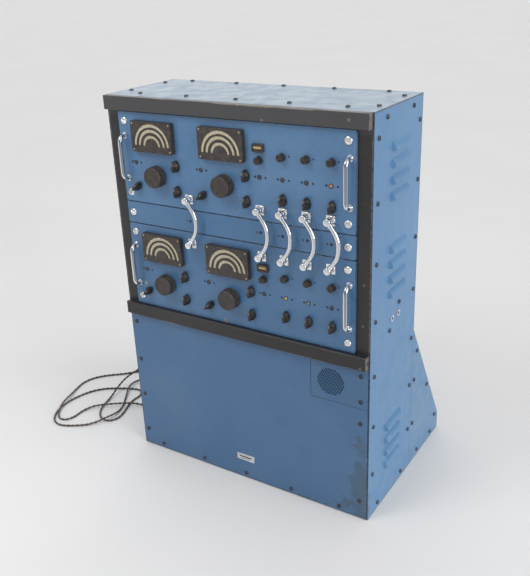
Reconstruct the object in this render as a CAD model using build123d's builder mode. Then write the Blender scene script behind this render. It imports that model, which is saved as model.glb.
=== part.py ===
"""Amateur radio transmitter in a floor-standing steel cabinet.

The cabinet stands on Z = 0 and faces -Y.  The origin is the middle of its footprint,
knobs and handles included.  Two tuning units sit one above the other behind 19 inch
rack panels, with a narrow link panel between them.  All sizes are in millimetres.
"""

import os
from math import pi, radians, sin, tan

from build123d import *

os.makedirs("parts", exist_ok=True)

# ------------------------------------------------------------------ driving dimensions
cabinet_width = 536.0
cabinet_height = 755.0
cabinet_depth = 196.0
foot_depth = 360.0  # cabinet and rear foot together
foot_height = 312.0
foot_lip = 38.0
grip_reach = 23.0  # how far knobs, handles and links stand in front of the cabinet
sheet = 1.5  # case sheet
angle_leg = 20.0  # welded angle of the frame
angle_gauge = 2.0

rack_width = 482.6
rack_gauge = 4.0
rack_corner = 4.0
panel_seam = 0.8
lower_unit_bottom = 345.2
upper_unit_bottom = 558.2
unit_height = 169.8
link_centre_z = 536.6

trim_gauge = 3.0
trim_inner = 212.0  # half width of the opening behind the rack panels
trim_outer = 266.3
bar_half_width = 265.0
bar_height = 25.4
bar_depth = 12.5
middle_bar_bottom = 320.0

speaker_left = 152.5
speaker_bottom = 238.0
speaker_centre = (192.9, 277.0)
speaker_radius = 29.0
perforation_radius = 1.75
perforation_pitch = 4.6

dial_columns = (-159.5, -10.0)
dial_height = 127.5  # centre of a dial above the bottom of its unit
dial_size = (91.5, 56.0)
dial_cavity = (83.5, 49.0)
dial_depth = 10.0
dial_face_gauge = 0.8
scale_bands = ((40.0, 34.2), (30.4, 24.8), (19.8, 14.4))  # outer and inner radii
scale_plate_gauge = 1.2
pointer_gap = 1.2  # between the scale plate and the bezel's face
pointer_clearance = 0.3
pointer_pivot_drop = 16.0  # the pointer turns this far below the dial's centre
pointer_length = 38.5

tuning_columns = (-158.5, -10.0)
tuning_height = 55.5
tuning_radius = 19.8
tuning_depth = 18.0

selector_places = (
    (-208.0, 31.7),
    (-113.5, 78.2),
    (-113.5, 31.7),
    (-59.0, 31.3),
    (35.6, 77.4),
    (35.6, 31.9),
    (107.6, 43.0),
    (153.0, 43.0),
    (198.8, 42.8),
)
selector_turns = (-45.0, 0.0, 0.0, -45.0, 0.0, 0.0, 0.0, 0.0, 0.0)
selector_foot = (7.0, 11.0)  # half width and half length of the oval foot
selector_ridge = (3.0, 9.4)
selector_depth = 14.0

trimmer_places = ((63.5, 106.3), (107.5, 115.2), (153.0, 115.9), (198.8, 115.6))
trimmer_radius = 7.0
trimmer_depth = 10.0

indicator_place = (62.5, 127.0)
indicator_size = (22.0, 14.0)
indicator_depth = 5.0

link_columns = (-89.0, 62.0, 107.0, 152.0, 197.0)
link_half_height = 42.0
link_arm_radius = 4.0
link_tube_radius = 3.7
link_tube_plane = 17.0  # tube centre in front of the cabinet
link_cap_radius = 6.6
link_cap_front = 22.5
link_bulge = 19.5
socket_flange = 17.0
socket_flange_gauge = 3.0
socket_barrel_radius = 6.0
socket_depth = 12.0

handle_x = 229.5
handle_height = 84.9
handle_half_span = 40.0
handle_plane = 18.5  # rod centre in front of the cabinet
handle_rod_radius = 4.2
ferrule_radius = 6.0
ferrule_gauge = 3.0

rack_screw_x = 227.4
rack_screw_heights = (17.7, 152.1)
rack_screw_head = 6.8
rack_screw_shank = 2.5
case_screw_head = 4.0
case_screw_shank = 1.9

shaft_radius = 3.0
trimmer_shaft_radius = 2.0
pointer_shaft_radius = 1.5
running_fit = 0.05
shaft_tail = 8.0  # length of a shaft behind the rack panel
knob_gap = 1.0  # air between a knob and the panel

louvre_length = 70.0
louvre_height = 15.0
louvre_reach = 6.0
louvre_pitch = 27.5
louvre_group_heights = (648.5, 474.0, 122.4)
louvre_count = 4
louvre_centre = 104.0  # behind the cabinet's front

lead_diameter = 5.0
gland_place = (290.0, 76.0)  # depth behind the front, height
gland_reach = 32.0

# ------------------------------------------------------------------ derived places
half_width = cabinet_width / 2
inner = half_width - sheet
front_y = -(foot_depth - grip_reach) / 2
back_y = front_y + cabinet_depth
foot_y = front_y + foot_depth
frame_front = front_y + trim_gauge
frame_back = back_y - sheet
frame_top = cabinet_height - sheet
unit_bottoms = {"lower": lower_unit_bottom, "upper": upper_unit_bottom}
socket_heights = (link_centre_z - link_half_height, link_centre_z + link_half_height)
speaker_top = middle_bar_bottom - 0.2

side_front_column = (713.0, 609.0, 505.7, 402.4, 297.3, 195.2, 93.3)
side_back_column = (712.0, 608.5, 502.6, 400.5, 299.0, 196.0, 95.3)
side_screws = [(front_y + 17.5, z) for z in side_front_column]
side_screws += [(front_y + 184.0, z) for z in side_back_column]
side_screws += [(front_y + 48.0, 740.0), (front_y + 155.0, 740.0)]
side_screws += [(front_y + 42.5, 13.0), (front_y + 153.7, 13.0)]
wing_screws = [(front_y + 208.0, 196.0), (front_y + 208.0, 95.5)]
wing_screws += [(front_y + 217.9, 256.0), (front_y + 281.0, 148.7), (front_y + 339.5, 43.6)]
wing_screws += [(front_y + 239.8, 13.0), (front_y + 315.6, 13.0)]
top_screws = [(x, front_y + 28.0) for x in (-210.0, -105.0, 0.0, 105.0, 210.0)]
top_screws += [(x, front_y + 186.0) for x in (-210.0, -105.0, 0.0, 105.0, 210.0)]
top_screws += [(x, front_y + y) for x in (-252.0, 252.0) for y in (52.0, 152.0)]
lower_panel_screws = [(-254.0, z) for z in (298.0, 211.0, 126.7, 39.0)]
lower_panel_screws += [(x, 12.5) for x in (-215.0, -105.0, 0.0, 105.0, 210.0)]
lower_panel_screws += [(252.0, 207.6), (252.0, 39.7)]
speaker_screws = [(252.0, 303.5), (252.0, 252.0)]
rear_screws = [(x, z) for x in (-252.0, 252.0) for z in (340.0, 470.0, 600.0, 730.0)]
rear_screws += [(x, 740.0) for x in (-105.0, 0.0, 105.0)]


def save(part, name):
    """Label a finished piece and write it as its own STEP file."""
    part.label = name
    export_step(part, f"parts/{name}.step")


def front_plane(proud=0.0):
    """Plane of the cabinet's front, moved out by proud.  Local axes are X and Z."""
    return Plane(origin=(0, front_y - proud, 0), x_dir=(1, 0, 0), z_dir=(0, -1, 0))


def side_plane(proud=0.0):
    """Plane of the cabinet's right side, moved out by proud.  Local axes are Y and Z."""
    return Plane(origin=(half_width + proud, 0, 0), x_dir=(0, 1, 0), z_dir=(1, 0, 0))


def rear_plane(proud=0.0):
    """Plane of the cabinet's rear, moved out by proud.  Local axes are -X and Z."""
    return Plane(origin=(0, back_y + proud, 0), x_dir=(-1, 0, 0), z_dir=(0, 1, 0))


def block(corner_a, corner_b, mode=Mode.ADD):
    """Box between two opposite corners, joined to the open part."""
    low = [min(a, b) for a, b in zip(corner_a, corner_b)]
    size = [abs(a - b) for a, b in zip(corner_a, corner_b)]
    with Locations(tuple(low)):
        Box(*size, align=(Align.MIN, Align.MIN, Align.MIN), mode=mode)


# ------------------------------------------------------------------ welded inner frame
with BuildPart() as cabinet_frame:
    block((-inner, frame_front, 0), (inner, frame_back, angle_gauge))
    block((-inner, frame_front, frame_top - angle_gauge), (inner, frame_back, frame_top))
    block(
        (-inner + angle_leg, frame_front + 38, frame_top - angle_gauge),
        (inner - angle_leg, frame_back - angle_leg, frame_top),
        mode=Mode.SUBTRACT,
    )
    for side in (-1, 1):
        skin = side * inner
        for face, inward in ((frame_front, 1), (frame_back, -1)):
            leg_x = skin - side * angle_leg
            leg_y = face + inward * angle_leg
            block((skin, face, 0), (leg_x, face + inward * angle_gauge, frame_top))
            block((skin, face, 0), (skin - side * angle_gauge, leg_y, frame_top))
        block(
            (skin, frame_front, middle_bar_bottom + 2),
            (skin - side * angle_gauge, frame_back, middle_bar_bottom + 2 + angle_leg),
        )
    for face, inward in ((frame_front, 1), (frame_back, -1)):
        block(
            (-inner, face, middle_bar_bottom + 2),
            (inner, face + inward * angle_gauge, middle_bar_bottom + 2 + angle_leg),
        )
save(cabinet_frame.part, "cabinet_frame")

# ------------------------------------------------------------------ black front trim
ring_opening = (middle_bar_bottom + bar_height, cabinet_height - bar_height)
with BuildPart() as front_trim:
    block(
        (-trim_outer, front_y, middle_bar_bottom),
        (trim_outer, frame_front, frame_top - 0.3),
    )
    block(
        (-trim_inner, front_y, ring_opening[0]),
        (trim_inner, frame_front, ring_opening[1]),
        mode=Mode.SUBTRACT,
    )
    for bottom in (middle_bar_bottom, cabinet_height - bar_height):
        block(
            (-bar_half_width, front_y - bar_depth, bottom),
            (bar_half_width, front_y, bottom + bar_height),
        )
    chamfer(front_trim.edges().filter_by(Axis.X).group_by(Axis.Y)[0], length=0.8)
save(front_trim.part, "front_trim")

# ------------------------------------------------------------------ case sheets
with BuildPart() as top_cover:
    with BuildSketch(Plane.XY.offset(frame_top)):
        with Locations((0, (front_y + back_y) / 2)):
            Rectangle(cabinet_width, cabinet_depth)
        with Locations(*top_screws):
            Circle(case_screw_shank, mode=Mode.SUBTRACT)
    extrude(amount=sheet)
save(top_cover.part, "top_cover")


def louvre_shape(depth_in, wall):
    """Pressed louvre, its mouth at the bottom, open behind when wall is not zero."""
    reach = louvre_reach - wall
    height = louvre_height - 1.5 * wall
    half_length = (louvre_length - 3 * wall) / 2
    with BuildPart() as shape:
        with BuildSketch(Plane.XZ):
            with BuildLine():
                Polyline((0, height), (-depth_in, height), (-depth_in, 0), (reach, 0), (reach, 2))
                ThreePointArc((reach, 2), (0.72 * reach, 0.6 * height), (0, height))
            make_face()
        extrude(amount=half_length, both=True)
        with BuildSketch(Plane.XY):
            with BuildLine():
                Polyline(
                    (-depth_in, -half_length),
                    (0, -half_length),
                    (reach, 4 - half_length),
                    (reach, half_length - 4),
                    (0, half_length),
                    (-depth_in, half_length),
                    close=True,
                )
            make_face()
        extrude(amount=louvre_height, mode=Mode.INTERSECT)
    return shape.part


louvre_places = [
    (half_width, front_y + louvre_centre, centre + (row - 1.5) * louvre_pitch - louvre_height / 2)
    for centre in louvre_group_heights
    for row in range(louvre_count)
]
louvre_outer = louvre_shape(0.5, 0.0)
louvre_inner = louvre_shape(sheet + 1, 1.2)

with BuildPart() as right_side_panel:
    with BuildSketch(side_plane(-sheet)):
        with Locations(((front_y + back_y) / 2, frame_top / 2)):
            Rectangle(cabinet_depth, frame_top)
        with Locations(*side_screws):
            Circle(case_screw_shank, mode=Mode.SUBTRACT)
        with Locations((front_y + 85.6, 382), (front_y + 112.7, 382)):
            Circle(4.0, mode=Mode.SUBTRACT)
    extrude(amount=sheet)
    with Locations(*louvre_places):
        add(louvre_outer)
    with Locations(*louvre_places):
        add(louvre_inner, mode=Mode.SUBTRACT)
save(right_side_panel.part, "right_side_panel")

with BuildPart() as left_side_panel:
    with BuildSketch(side_plane(-sheet)):
        with Locations(((front_y + back_y) / 2, frame_top / 2)):
            Rectangle(cabinet_depth, frame_top)
        with Locations(*side_screws):
            Circle(case_screw_shank, mode=Mode.SUBTRACT)
    extrude(amount=sheet)
    with Locations(*louvre_places):
        add(louvre_outer)
    with Locations(*louvre_places):
        add(louvre_inner, mode=Mode.SUBTRACT)
    mirror(about=Plane.YZ, mode=Mode.REPLACE)
save(left_side_panel.part, "left_side_panel")

with BuildPart() as rear_cover:
    with BuildSketch(rear_plane(-sheet)):
        with Locations((0, frame_top / 2)):
            Rectangle(2 * inner, frame_top)
        with Locations((0, 660), (0, 450)):
            with GridLocations(0, 14, 1, 8):
                SlotOverall(220, 6, mode=Mode.SUBTRACT)
        with Locations(*rear_screws):
            Circle(case_screw_shank, mode=Mode.SUBTRACT)
    extrude(amount=sheet)
save(rear_cover.part, "rear_cover")

# The rear foot is one welding: two side wings, a sloped cover, a lip and a joining flange.
wing_outline = (
    (back_y, 0),
    (foot_y, 0),
    (foot_y, foot_lip),
    (back_y, foot_height),
)
with BuildPart() as rear_foot:
    with BuildSketch(side_plane()):
        with BuildLine():
            Polyline(*wing_outline, close=True)
        make_face()
    extrude(amount=-cabinet_width)
    with BuildSketch(side_plane(-sheet)):
        with BuildLine():
            Polyline(
                (back_y + sheet, 0),
                (foot_y - sheet, 0),
                (foot_y - sheet, foot_lip - 1),
                (back_y + sheet, foot_height - 5),
                close=True,
            )
        make_face()
    extrude(amount=-(cabinet_width - 2 * sheet), mode=Mode.SUBTRACT)
    block(
        (-inner + angle_leg, back_y, angle_leg),
        (inner - angle_leg, back_y + sheet, foot_height - 30),
        mode=Mode.SUBTRACT,
    )
    with BuildSketch(side_plane(1)):
        with Locations(*wing_screws):
            Circle(case_screw_shank)
    extrude(amount=-(cabinet_width + 2), mode=Mode.SUBTRACT)
save(rear_foot.part, "rear_foot")

# ------------------------------------------------------------------ lower front and speaker
panel_edge = half_width - 2.0
with BuildPart() as lower_front_panel:
    for reach in (sheet, -trim_gauge):
        with BuildSketch(front_plane()):
            with BuildLine():
                Polyline(
                    (-panel_edge, 2),
                    (panel_edge, 2),
                    (panel_edge, speaker_bottom - 0.4),
                    (speaker_left - 0.4, speaker_bottom - 0.4),
                    (speaker_left - 0.4, speaker_top),
                    (-panel_edge, speaker_top),
                    close=True,
                )
            make_face()
            if reach < 0:
                offset(amount=-sheet, mode=Mode.SUBTRACT)
            else:
                with Locations(*lower_panel_screws):
                    Circle(case_screw_shank, mode=Mode.SUBTRACT)
        extrude(amount=reach)
save(lower_front_panel.part, "lower_front_panel")

row_rise = perforation_pitch * sin(radians(60))
hole_reach = speaker_radius - perforation_radius
row_count = int(hole_reach / row_rise)
perforations = []
for row in range(-row_count, row_count + 1):
    shift = (row % 2) * perforation_pitch / 2
    for column in range(-row_count - 1, row_count + 2):
        hole_x = column * perforation_pitch + shift
        hole_z = row * row_rise
        if hole_x**2 + hole_z**2 < hole_reach**2:
            perforations.append((speaker_centre[0] + hole_x, speaker_centre[1] + hole_z))

with BuildPart() as speaker_panel:
    with BuildSketch(front_plane()):
        with Locations(((speaker_left + panel_edge) / 2, (speaker_bottom + speaker_top) / 2)):
            Rectangle(panel_edge - speaker_left, speaker_top - speaker_bottom)
        with Locations(*speaker_screws):
            Circle(case_screw_shank, mode=Mode.SUBTRACT)
        with Locations(*perforations):
            Circle(perforation_radius, mode=Mode.SUBTRACT)
    extrude(amount=sheet)
    with BuildSketch(front_plane()):
        with Locations(speaker_centre):
            Circle(speaker_radius + 8)
            Circle(speaker_radius + 0.5, mode=Mode.SUBTRACT)
    extrude(amount=-4)
    with BuildSketch(front_plane(-4)):
        with Locations(speaker_centre):
            Circle(speaker_radius + 8)
    extrude(amount=-18, taper=30)
    with BuildSketch(front_plane(-20)):
        with Locations(speaker_centre):
            Circle(18)
    extrude(amount=-22)
save(speaker_panel.part, "speaker_panel")


# ------------------------------------------------------------------ rack panels
def rack_panel(bottom, top, screw_heights, socket_rows, controls):
    """Flat rack panel with slots for its screws and holes for what passes through it."""
    with BuildPart() as panel:
        with BuildSketch(front_plane()):
            with Locations((0, (bottom + top) / 2)):
                RectangleRounded(rack_width, top - bottom, rack_corner)
            for side in (-1, 1):
                with Locations(*[(side * rack_screw_x, z) for z in screw_heights]):
                    Circle(rack_screw_shank + 0.1, mode=Mode.SUBTRACT)
            for z in socket_rows:
                with Locations(*[(x, z) for x in link_columns]):
                    Circle(socket_barrel_radius, mode=Mode.SUBTRACT)
            for radius, places in controls:
                with Locations(*places):
                    Circle(radius, mode=Mode.SUBTRACT)
        extrude(amount=rack_gauge)
        chamfer(panel.edges().group_by(Axis.Y)[0].filter_by(GeomType.LINE), length=0.5)
    return panel.part


for unit, bottom in unit_bottoms.items():
    z_low = bottom + panel_seam / 2
    z_high = bottom + unit_height - panel_seam / 2
    shaft_holes = [(x, bottom + tuning_height) for x in tuning_columns]
    shaft_holes += [(x, bottom + z) for x, z in selector_places]
    trimmer_holes = [(x, bottom + z) for x, z in trimmer_places]
    pivot_holes = [(x, bottom + dial_height - pointer_pivot_drop) for x in dial_columns]
    unit_panel = rack_panel(
        z_low,
        z_high,
        [bottom + z for z in rack_screw_heights],
        [z for z in socket_heights if z_low < z < z_high],
        [
            (shaft_radius + running_fit, shaft_holes),
            (trimmer_shaft_radius + running_fit, trimmer_holes),
            (pointer_shaft_radius + running_fit, pivot_holes),
        ],
    )
    save(unit_panel, f"{unit}_unit_panel")

link_panel = rack_panel(
    lower_unit_bottom + unit_height + panel_seam / 2,
    upper_unit_bottom - panel_seam / 2,
    [link_centre_z],
    [],
    [],
)
save(link_panel, "link_panel")

# ------------------------------------------------------------------ dials and windows
# A bezel is a shallow case.  Three curved slots in its face show the scale plate inside,
# and the needle turns in the gap between them.
face_back = rack_gauge + dial_depth - dial_face_gauge
with BuildPart() as dial_bezels:
    for bottom in unit_bottoms.values():
        dial_centres = [(x, bottom + dial_height) for x in dial_columns]
        pivots = [(x, z - pointer_pivot_drop) for x, z in dial_centres]
        window = (indicator_place[0], bottom + indicator_place[1])
        with BuildSketch(front_plane(rack_gauge)):
            with Locations(*dial_centres):
                RectangleRounded(*dial_size, 3.5)
        extrude(amount=dial_depth)
        with BuildSketch(front_plane(rack_gauge)):
            with Locations(*dial_centres):
                RectangleRounded(*dial_cavity, 1.5)
        extrude(amount=face_back - rack_gauge, mode=Mode.SUBTRACT)
        with BuildSketch(front_plane(face_back)):
            for outer_radius, inner_radius in scale_bands:
                with Locations(*pivots):
                    Circle(outer_radius)
                    Circle(inner_radius, mode=Mode.SUBTRACT)
            with Locations(*[(x, z - dial_cavity[1] / 2) for x, z in pivots]):
                Rectangle(dial_size[0], dial_cavity[1], mode=Mode.SUBTRACT)
        extrude(amount=dial_face_gauge, mode=Mode.SUBTRACT)
        with BuildSketch(front_plane(face_back - pointer_gap)):
            with Locations(*dial_centres):
                RectangleRounded(*dial_cavity, 1.5)
            with Locations(*pivots):
                Circle(pointer_shaft_radius + running_fit, mode=Mode.SUBTRACT)
        extrude(amount=-scale_plate_gauge)
        with BuildSketch(front_plane(rack_gauge)):
            with Locations(window):
                RectangleRounded(*indicator_size, 1.5)
        extrude(amount=indicator_depth)
        with BuildSketch(front_plane(rack_gauge + 1)):
            with Locations(window):
                Rectangle(indicator_size[0] - 6, indicator_size[1] - 6)
        extrude(amount=indicator_depth, mode=Mode.SUBTRACT)
save(dial_bezels.part, "dial_bezels")


def dial_pointer(x, z):
    """Needle with its hub and shaft, upright at the middle of the scale."""
    needle_back = face_back - pointer_gap + pointer_clearance
    with BuildPart() as pointer:
        with BuildSketch(front_plane(needle_back)):
            with Locations((x, z)):
                Circle(3.0)
            with Locations((x, z + pointer_length / 2)):
                Rectangle(0.8, pointer_length)
        extrude(amount=pointer_gap - 2 * pointer_clearance)
        with BuildSketch(front_plane(needle_back)):
            with Locations((x, z)):
                Circle(pointer_shaft_radius)
        extrude(amount=-(needle_back + shaft_tail))
    return pointer.part


# ------------------------------------------------------------------ knobs
def tuning_knob(x, z):
    """Large flat tuning knob with a narrow foot and a shallow step round its face."""
    knob_back = rack_gauge + knob_gap
    with BuildPart() as knob:
        with BuildSketch(front_plane(knob_back)):
            with Locations((x, z)):
                Circle(tuning_radius)
        extrude(amount=tuning_depth, taper=3)
        fillet(knob.edges().group_by(Axis.Y)[0], radius=2.0)
        with BuildSketch(front_plane(knob_back + tuning_depth)):
            with Locations((x, z)):
                Circle(tuning_radius - 6)
        extrude(amount=-0.8, mode=Mode.SUBTRACT)
        with BuildSketch(front_plane(knob_back)):
            with Locations((x, z)):
                Circle(shaft_radius)
        extrude(amount=-(knob_back + shaft_tail))
    return knob.part


def selector_knob(x, z, turn):
    """Oval knob that narrows to a ridge, turned clockwise by -turn degrees."""
    knob_back = rack_gauge + knob_gap
    with BuildPart() as knob:
        with BuildSketch(front_plane(knob_back)):
            with Locations((x, z)):
                Ellipse(*selector_foot, rotation=turn)
        with BuildSketch(front_plane(knob_back + selector_depth - 1.5)):
            with Locations((x, z)):
                Ellipse(*selector_ridge, rotation=turn)
        with BuildSketch(front_plane(knob_back + selector_depth)):
            with Locations((x, z)):
                Ellipse(selector_ridge[0] - 1, selector_ridge[1] - 1, rotation=turn)
        loft(ruled=True)
        with BuildSketch(front_plane(knob_back)):
            with Locations((x, z)):
                Circle(shaft_radius)
        extrude(amount=-(knob_back + shaft_tail))
    return knob.part


def trimmer_knob(x, z):
    """Small round push-on knob."""
    knob_back = rack_gauge + knob_gap
    with BuildPart() as knob:
        with BuildSketch(front_plane(knob_back)):
            with Locations((x, z)):
                Circle(trimmer_radius)
        extrude(amount=trimmer_depth, taper=3)
        fillet(knob.edges().group_by(Axis.Y)[0], radius=1.0)
        with BuildSketch(front_plane(knob_back)):
            with Locations((x, z)):
                Circle(trimmer_shaft_radius)
        extrude(amount=-(knob_back + shaft_tail))
    return knob.part


for unit, bottom in unit_bottoms.items():
    for place, hand in enumerate(("left", "right")):
        pivot_z = bottom + dial_height - pointer_pivot_drop
        save(dial_pointer(dial_columns[place], pivot_z), f"{unit}_{hand}_dial_pointer")
        save(tuning_knob(tuning_columns[place], bottom + tuning_height), f"{unit}_{hand}_tuning_knob")
    for number, (x, z) in enumerate(selector_places):
        selector = selector_knob(x, bottom + z, selector_turns[number])
        save(selector, f"{unit}_selector_knob_{number + 1}")
    for number, (x, z) in enumerate(trimmer_places):
        save(trimmer_knob(x, bottom + z), f"{unit}_trimmer_knob_{number + 1}")

# ------------------------------------------------------------------ sockets and links
with BuildPart() as coax_sockets:
    for z in socket_heights:
        with BuildSketch(front_plane(rack_gauge)):
            with Locations(*[(x, z) for x in link_columns]):
                RectangleRounded(socket_flange, socket_flange, 1.5)
        extrude(amount=socket_flange_gauge)
        with BuildSketch(front_plane(rack_gauge)):
            with Locations(*[(x, z) for x in link_columns]):
                Circle(socket_barrel_radius)
        extrude(amount=-(rack_gauge + socket_depth))
        with BuildSketch(front_plane(rack_gauge + socket_flange_gauge)):
            with Locations(*[(x, z) for x in link_columns]):
                Circle(link_arm_radius + running_fit)
        extrude(amount=-(rack_gauge + socket_flange_gauge + socket_depth), mode=Mode.SUBTRACT)
    with BuildSketch(side_plane()):
        with Locations((front_y + 85.6, 382), (front_y + 112.7, 382)):
            Circle(6.0)
            Circle(2.8, mode=Mode.SUBTRACT)
    extrude(amount=2.5)
    with BuildSketch(side_plane()):
        with Locations((front_y + 85.6, 382), (front_y + 112.7, 382)):
            Circle(4.0)
            Circle(2.8, mode=Mode.SUBTRACT)
    extrude(amount=-14)
save(coax_sockets.part, "coax_sockets")


def patch_link(x):
    """Coaxial patch link: two capped plugs joined by a bowed tube."""
    tube_y = front_y - link_tube_plane
    upper_z = link_centre_z + link_half_height
    lower_z = link_centre_z - link_half_height
    ends = [(x, z) for z in (lower_z, upper_z)]
    with BuildPart() as link:
        with BuildLine() as bow:
            FilletPolyline(
                (x, tube_y, upper_z),
                (x + link_bulge, tube_y, link_centre_z + 15.5),
                (x + link_bulge, tube_y, link_centre_z - 15.5),
                (x, tube_y, lower_z),
                radius=42,
            )
        with BuildSketch(Plane(origin=bow.line @ 0, z_dir=bow.line % 0)):
            Circle(link_tube_radius)
        sweep()
        with BuildSketch(front_plane(link_cap_front)):
            with Locations(*ends):
                Circle(link_cap_radius)
        extrude(amount=-(link_cap_front - rack_gauge - socket_flange_gauge - 0.5))
        fillet(link.edges().group_by(Axis.Y)[0], radius=1.5)
        with BuildSketch(front_plane(link_cap_front - 4)):
            with Locations(*ends):
                Circle(link_arm_radius)
        extrude(amount=-(link_cap_front - 4 + socket_depth - 2))
    return link.part


for number, x in enumerate(link_columns):
    save(patch_link(x), f"patch_link_{number + 1}")

# ------------------------------------------------------------------ handles and screws
with BuildPart() as panel_handles:
    for bottom in unit_bottoms.values():
        for side in (-1, 1):
            top_foot = bottom + handle_height + handle_half_span
            low_foot = bottom + handle_height - handle_half_span
            with BuildLine() as grip:
                FilletPolyline(
                    (side * handle_x, front_y - rack_gauge, low_foot),
                    (side * handle_x, front_y - handle_plane, low_foot),
                    (side * handle_x, front_y - handle_plane, top_foot),
                    (side * handle_x, front_y - rack_gauge, top_foot),
                    radius=12,
                )
            with BuildSketch(Plane(origin=grip.line @ 0, z_dir=grip.line % 0)):
                Circle(handle_rod_radius)
            sweep()
            with BuildSketch(front_plane(rack_gauge)):
                with Locations((side * handle_x, low_foot), (side * handle_x, top_foot)):
                    Circle(ferrule_radius)
            extrude(amount=ferrule_gauge, taper=15)
save(panel_handles.part, "panel_handles")

rack_screw_places = [
    (side * rack_screw_x, z)
    for side in (-1, 1)
    for z in [b + h for b in unit_bottoms.values() for h in rack_screw_heights] + [link_centre_z]
]
with BuildPart() as panel_screws:
    with BuildSketch(front_plane(rack_gauge)):
        with Locations(*rack_screw_places):
            Circle(rack_screw_head)
    extrude(amount=3, taper=20)
    with BuildSketch(front_plane(rack_gauge + 3)):
        with Locations(*rack_screw_places):
            Rectangle(2 * rack_screw_head, 1.6)
    extrude(amount=-1.4, mode=Mode.SUBTRACT)
    with BuildSketch(front_plane(rack_gauge)):
        with Locations(*rack_screw_places):
            Circle(rack_screw_shank)
    extrude(amount=-rack_gauge)
    for plane, places in (
        (front_plane(sheet), lower_panel_screws + speaker_screws),
        (Plane.XY.offset(cabinet_height), top_screws),
        (rear_plane(), rear_screws),
        (side_plane(), side_screws + wing_screws),
        (
            Plane(origin=(-half_width, 0, 0), x_dir=(0, -1, 0), z_dir=(-1, 0, 0)),
            [(-y, z) for y, z in side_screws + wing_screws],
        ),
    ):
        with BuildSketch(plane):
            with Locations(*places):
                Circle(case_screw_head)
        extrude(amount=2.4, taper=30)
        with BuildSketch(plane):
            with Locations(*places):
                Circle(case_screw_shank)
        extrude(amount=-sheet)
save(panel_screws.part, "panel_screws")

# ------------------------------------------------------------------ inside the cabinet
chassis_half_width = 189.0
chassis_gauge = 2.0
valve_places = [(x, front_y + y) for x in (-150.0, -50.0, 50.0, 150.0) for y in (60.0, 125.0)]
with BuildPart() as unit_chassis:
    for bottom in unit_bottoms.values():
        deck = bottom + 12
        block(
            (-chassis_half_width, front_y + 30, deck),
            (chassis_half_width, front_y + 165, deck + chassis_gauge),
        )
        for side in (-1, 1):
            outer_face = side * chassis_half_width
            block(
                (outer_face, front_y, deck),
                (outer_face - side * chassis_gauge, front_y + 165, deck + 60),
            )
        with BuildSketch(Plane.XY.offset(deck + chassis_gauge)):
            with Locations(*valve_places):
                Circle(16)
        extrude(amount=70)
        fillet(
            unit_chassis.edges().filter_by(GeomType.CIRCLE).group_by(Axis.Z)[-1],
            radius=8,
        )
save(unit_chassis.part, "unit_chassis")

with BuildPart() as power_supply:
    block((-220, front_y + 30, angle_gauge), (220, front_y + 170, angle_gauge + 40))
    for x, width, height in ((-130, 120, 105), (30, 90, 85)):
        block(
            (x - width / 2, front_y + 55, angle_gauge + 40),
            (x + width / 2, front_y + 145, angle_gauge + 40 + height),
        )
    fillet(power_supply.edges().filter_by(Axis.Z), radius=6)
    with BuildSketch(Plane.XY.offset(angle_gauge + 40)):
        with Locations((120, front_y + 75), (120, front_y + 125), (175, front_y + 100)):
            Circle(20)
    extrude(amount=90)
save(power_supply.part, "power_supply")

# ------------------------------------------------------------------ mains lead
lead_radius = lead_diameter / 2
gland_y = front_y + gland_place[0]
left_face = Plane(
    origin=(-half_width, gland_y, gland_place[1]), x_dir=(0, -1, 0), z_dir=(-1, 0, 0)
)
with BuildPart() as mains_gland:
    with BuildSketch(left_face):
        RegularPolygon(9, 6)
    extrude(amount=5)
    with BuildSketch(left_face.offset(5)):
        Circle(6.5)
    with BuildSketch(left_face.offset(gland_reach)):
        Circle(lead_radius + 1)
    loft()
save(mains_gland.part, "mains_gland")

# Depths are behind the cabinet's front.  The lead lies on Z = 0 where its centre is at
# lead_radius, and rises over itself where it crosses.
lead_route = (
    (-300, 290, 76),
    (-335, 288, 74),
    (-372, 277, 66),
    (-408, 255, 54),
    (-440, 224, 42),
    (-461, 190, 32),
    (-468, 156, 24),
    (-466, 124, 14),
    (-461, 95, 4),
    (-456, 66, 2.5),
    (-443, 38, 2.5),
    (-421, 17, 2.5),
    (-394, 16, 2.5),
    (-383, 40, 2.5),
    (-391, 66, 2.5),
    (-401, 92, 2.5),
    (-408, 117, 2.5),
    (-404, 142, 2.5),
    (-421, 163, 2.5),
    (-447, 156, 2.5),
    (-474, 143, 2.5),
    (-503, 127, 2.5),
    (-526, 101, 2.5),
    (-538, 68, 2.5),
    (-543, 34, 2.5),
    (-540, 4, 2.5),
    (-528, -24, 2.5),
    (-508, -46, 2.5),
    (-481, -51, 2.5),
    (-456, -38, 2.5),
    (-432, -22, 2.5),
    (-413, -5, 6),
    (-404, 17, 9),
    (-400, 42, 6),
    (-404, 66, 2.5),
    (-414, 90, 2.5),
    (-429, 113, 2.5),
    (-443, 136, 6),
    (-454, 158, 9),
    (-458, 184, 6),
    (-452, 209, 2.5),
    (-451, 233, 2.5),
    (-472, 244, 2.5),
    (-495, 226, 2.5),
    (-517, 201, 2.5),
    (-545, 180, 2.5),
    (-569, 152, 2.5),
    (-577, 121, 2.5),
    (-570, 91, 2.5),
    (-559, 61, 5),
    (-548, 33, 9),
    (-538, 7, 9),
    (-525, -15, 4),
    (-508, -31, 2.5),
    (-488, -29, 2.5),
    (-479, -8, 2.5),
    (-482, 18, 2.5),
    (-470, 45, 6),
    (-443, 62, 9),
    (-417, 80, 10),
    (-390, 98, 9),
    (-362, 110, 4),
    (-334, 124, 5),
    (-312, 148, 10),
)
lead_points = [Vector(x, front_y + depth, z) for x, depth, z in lead_route]


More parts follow.
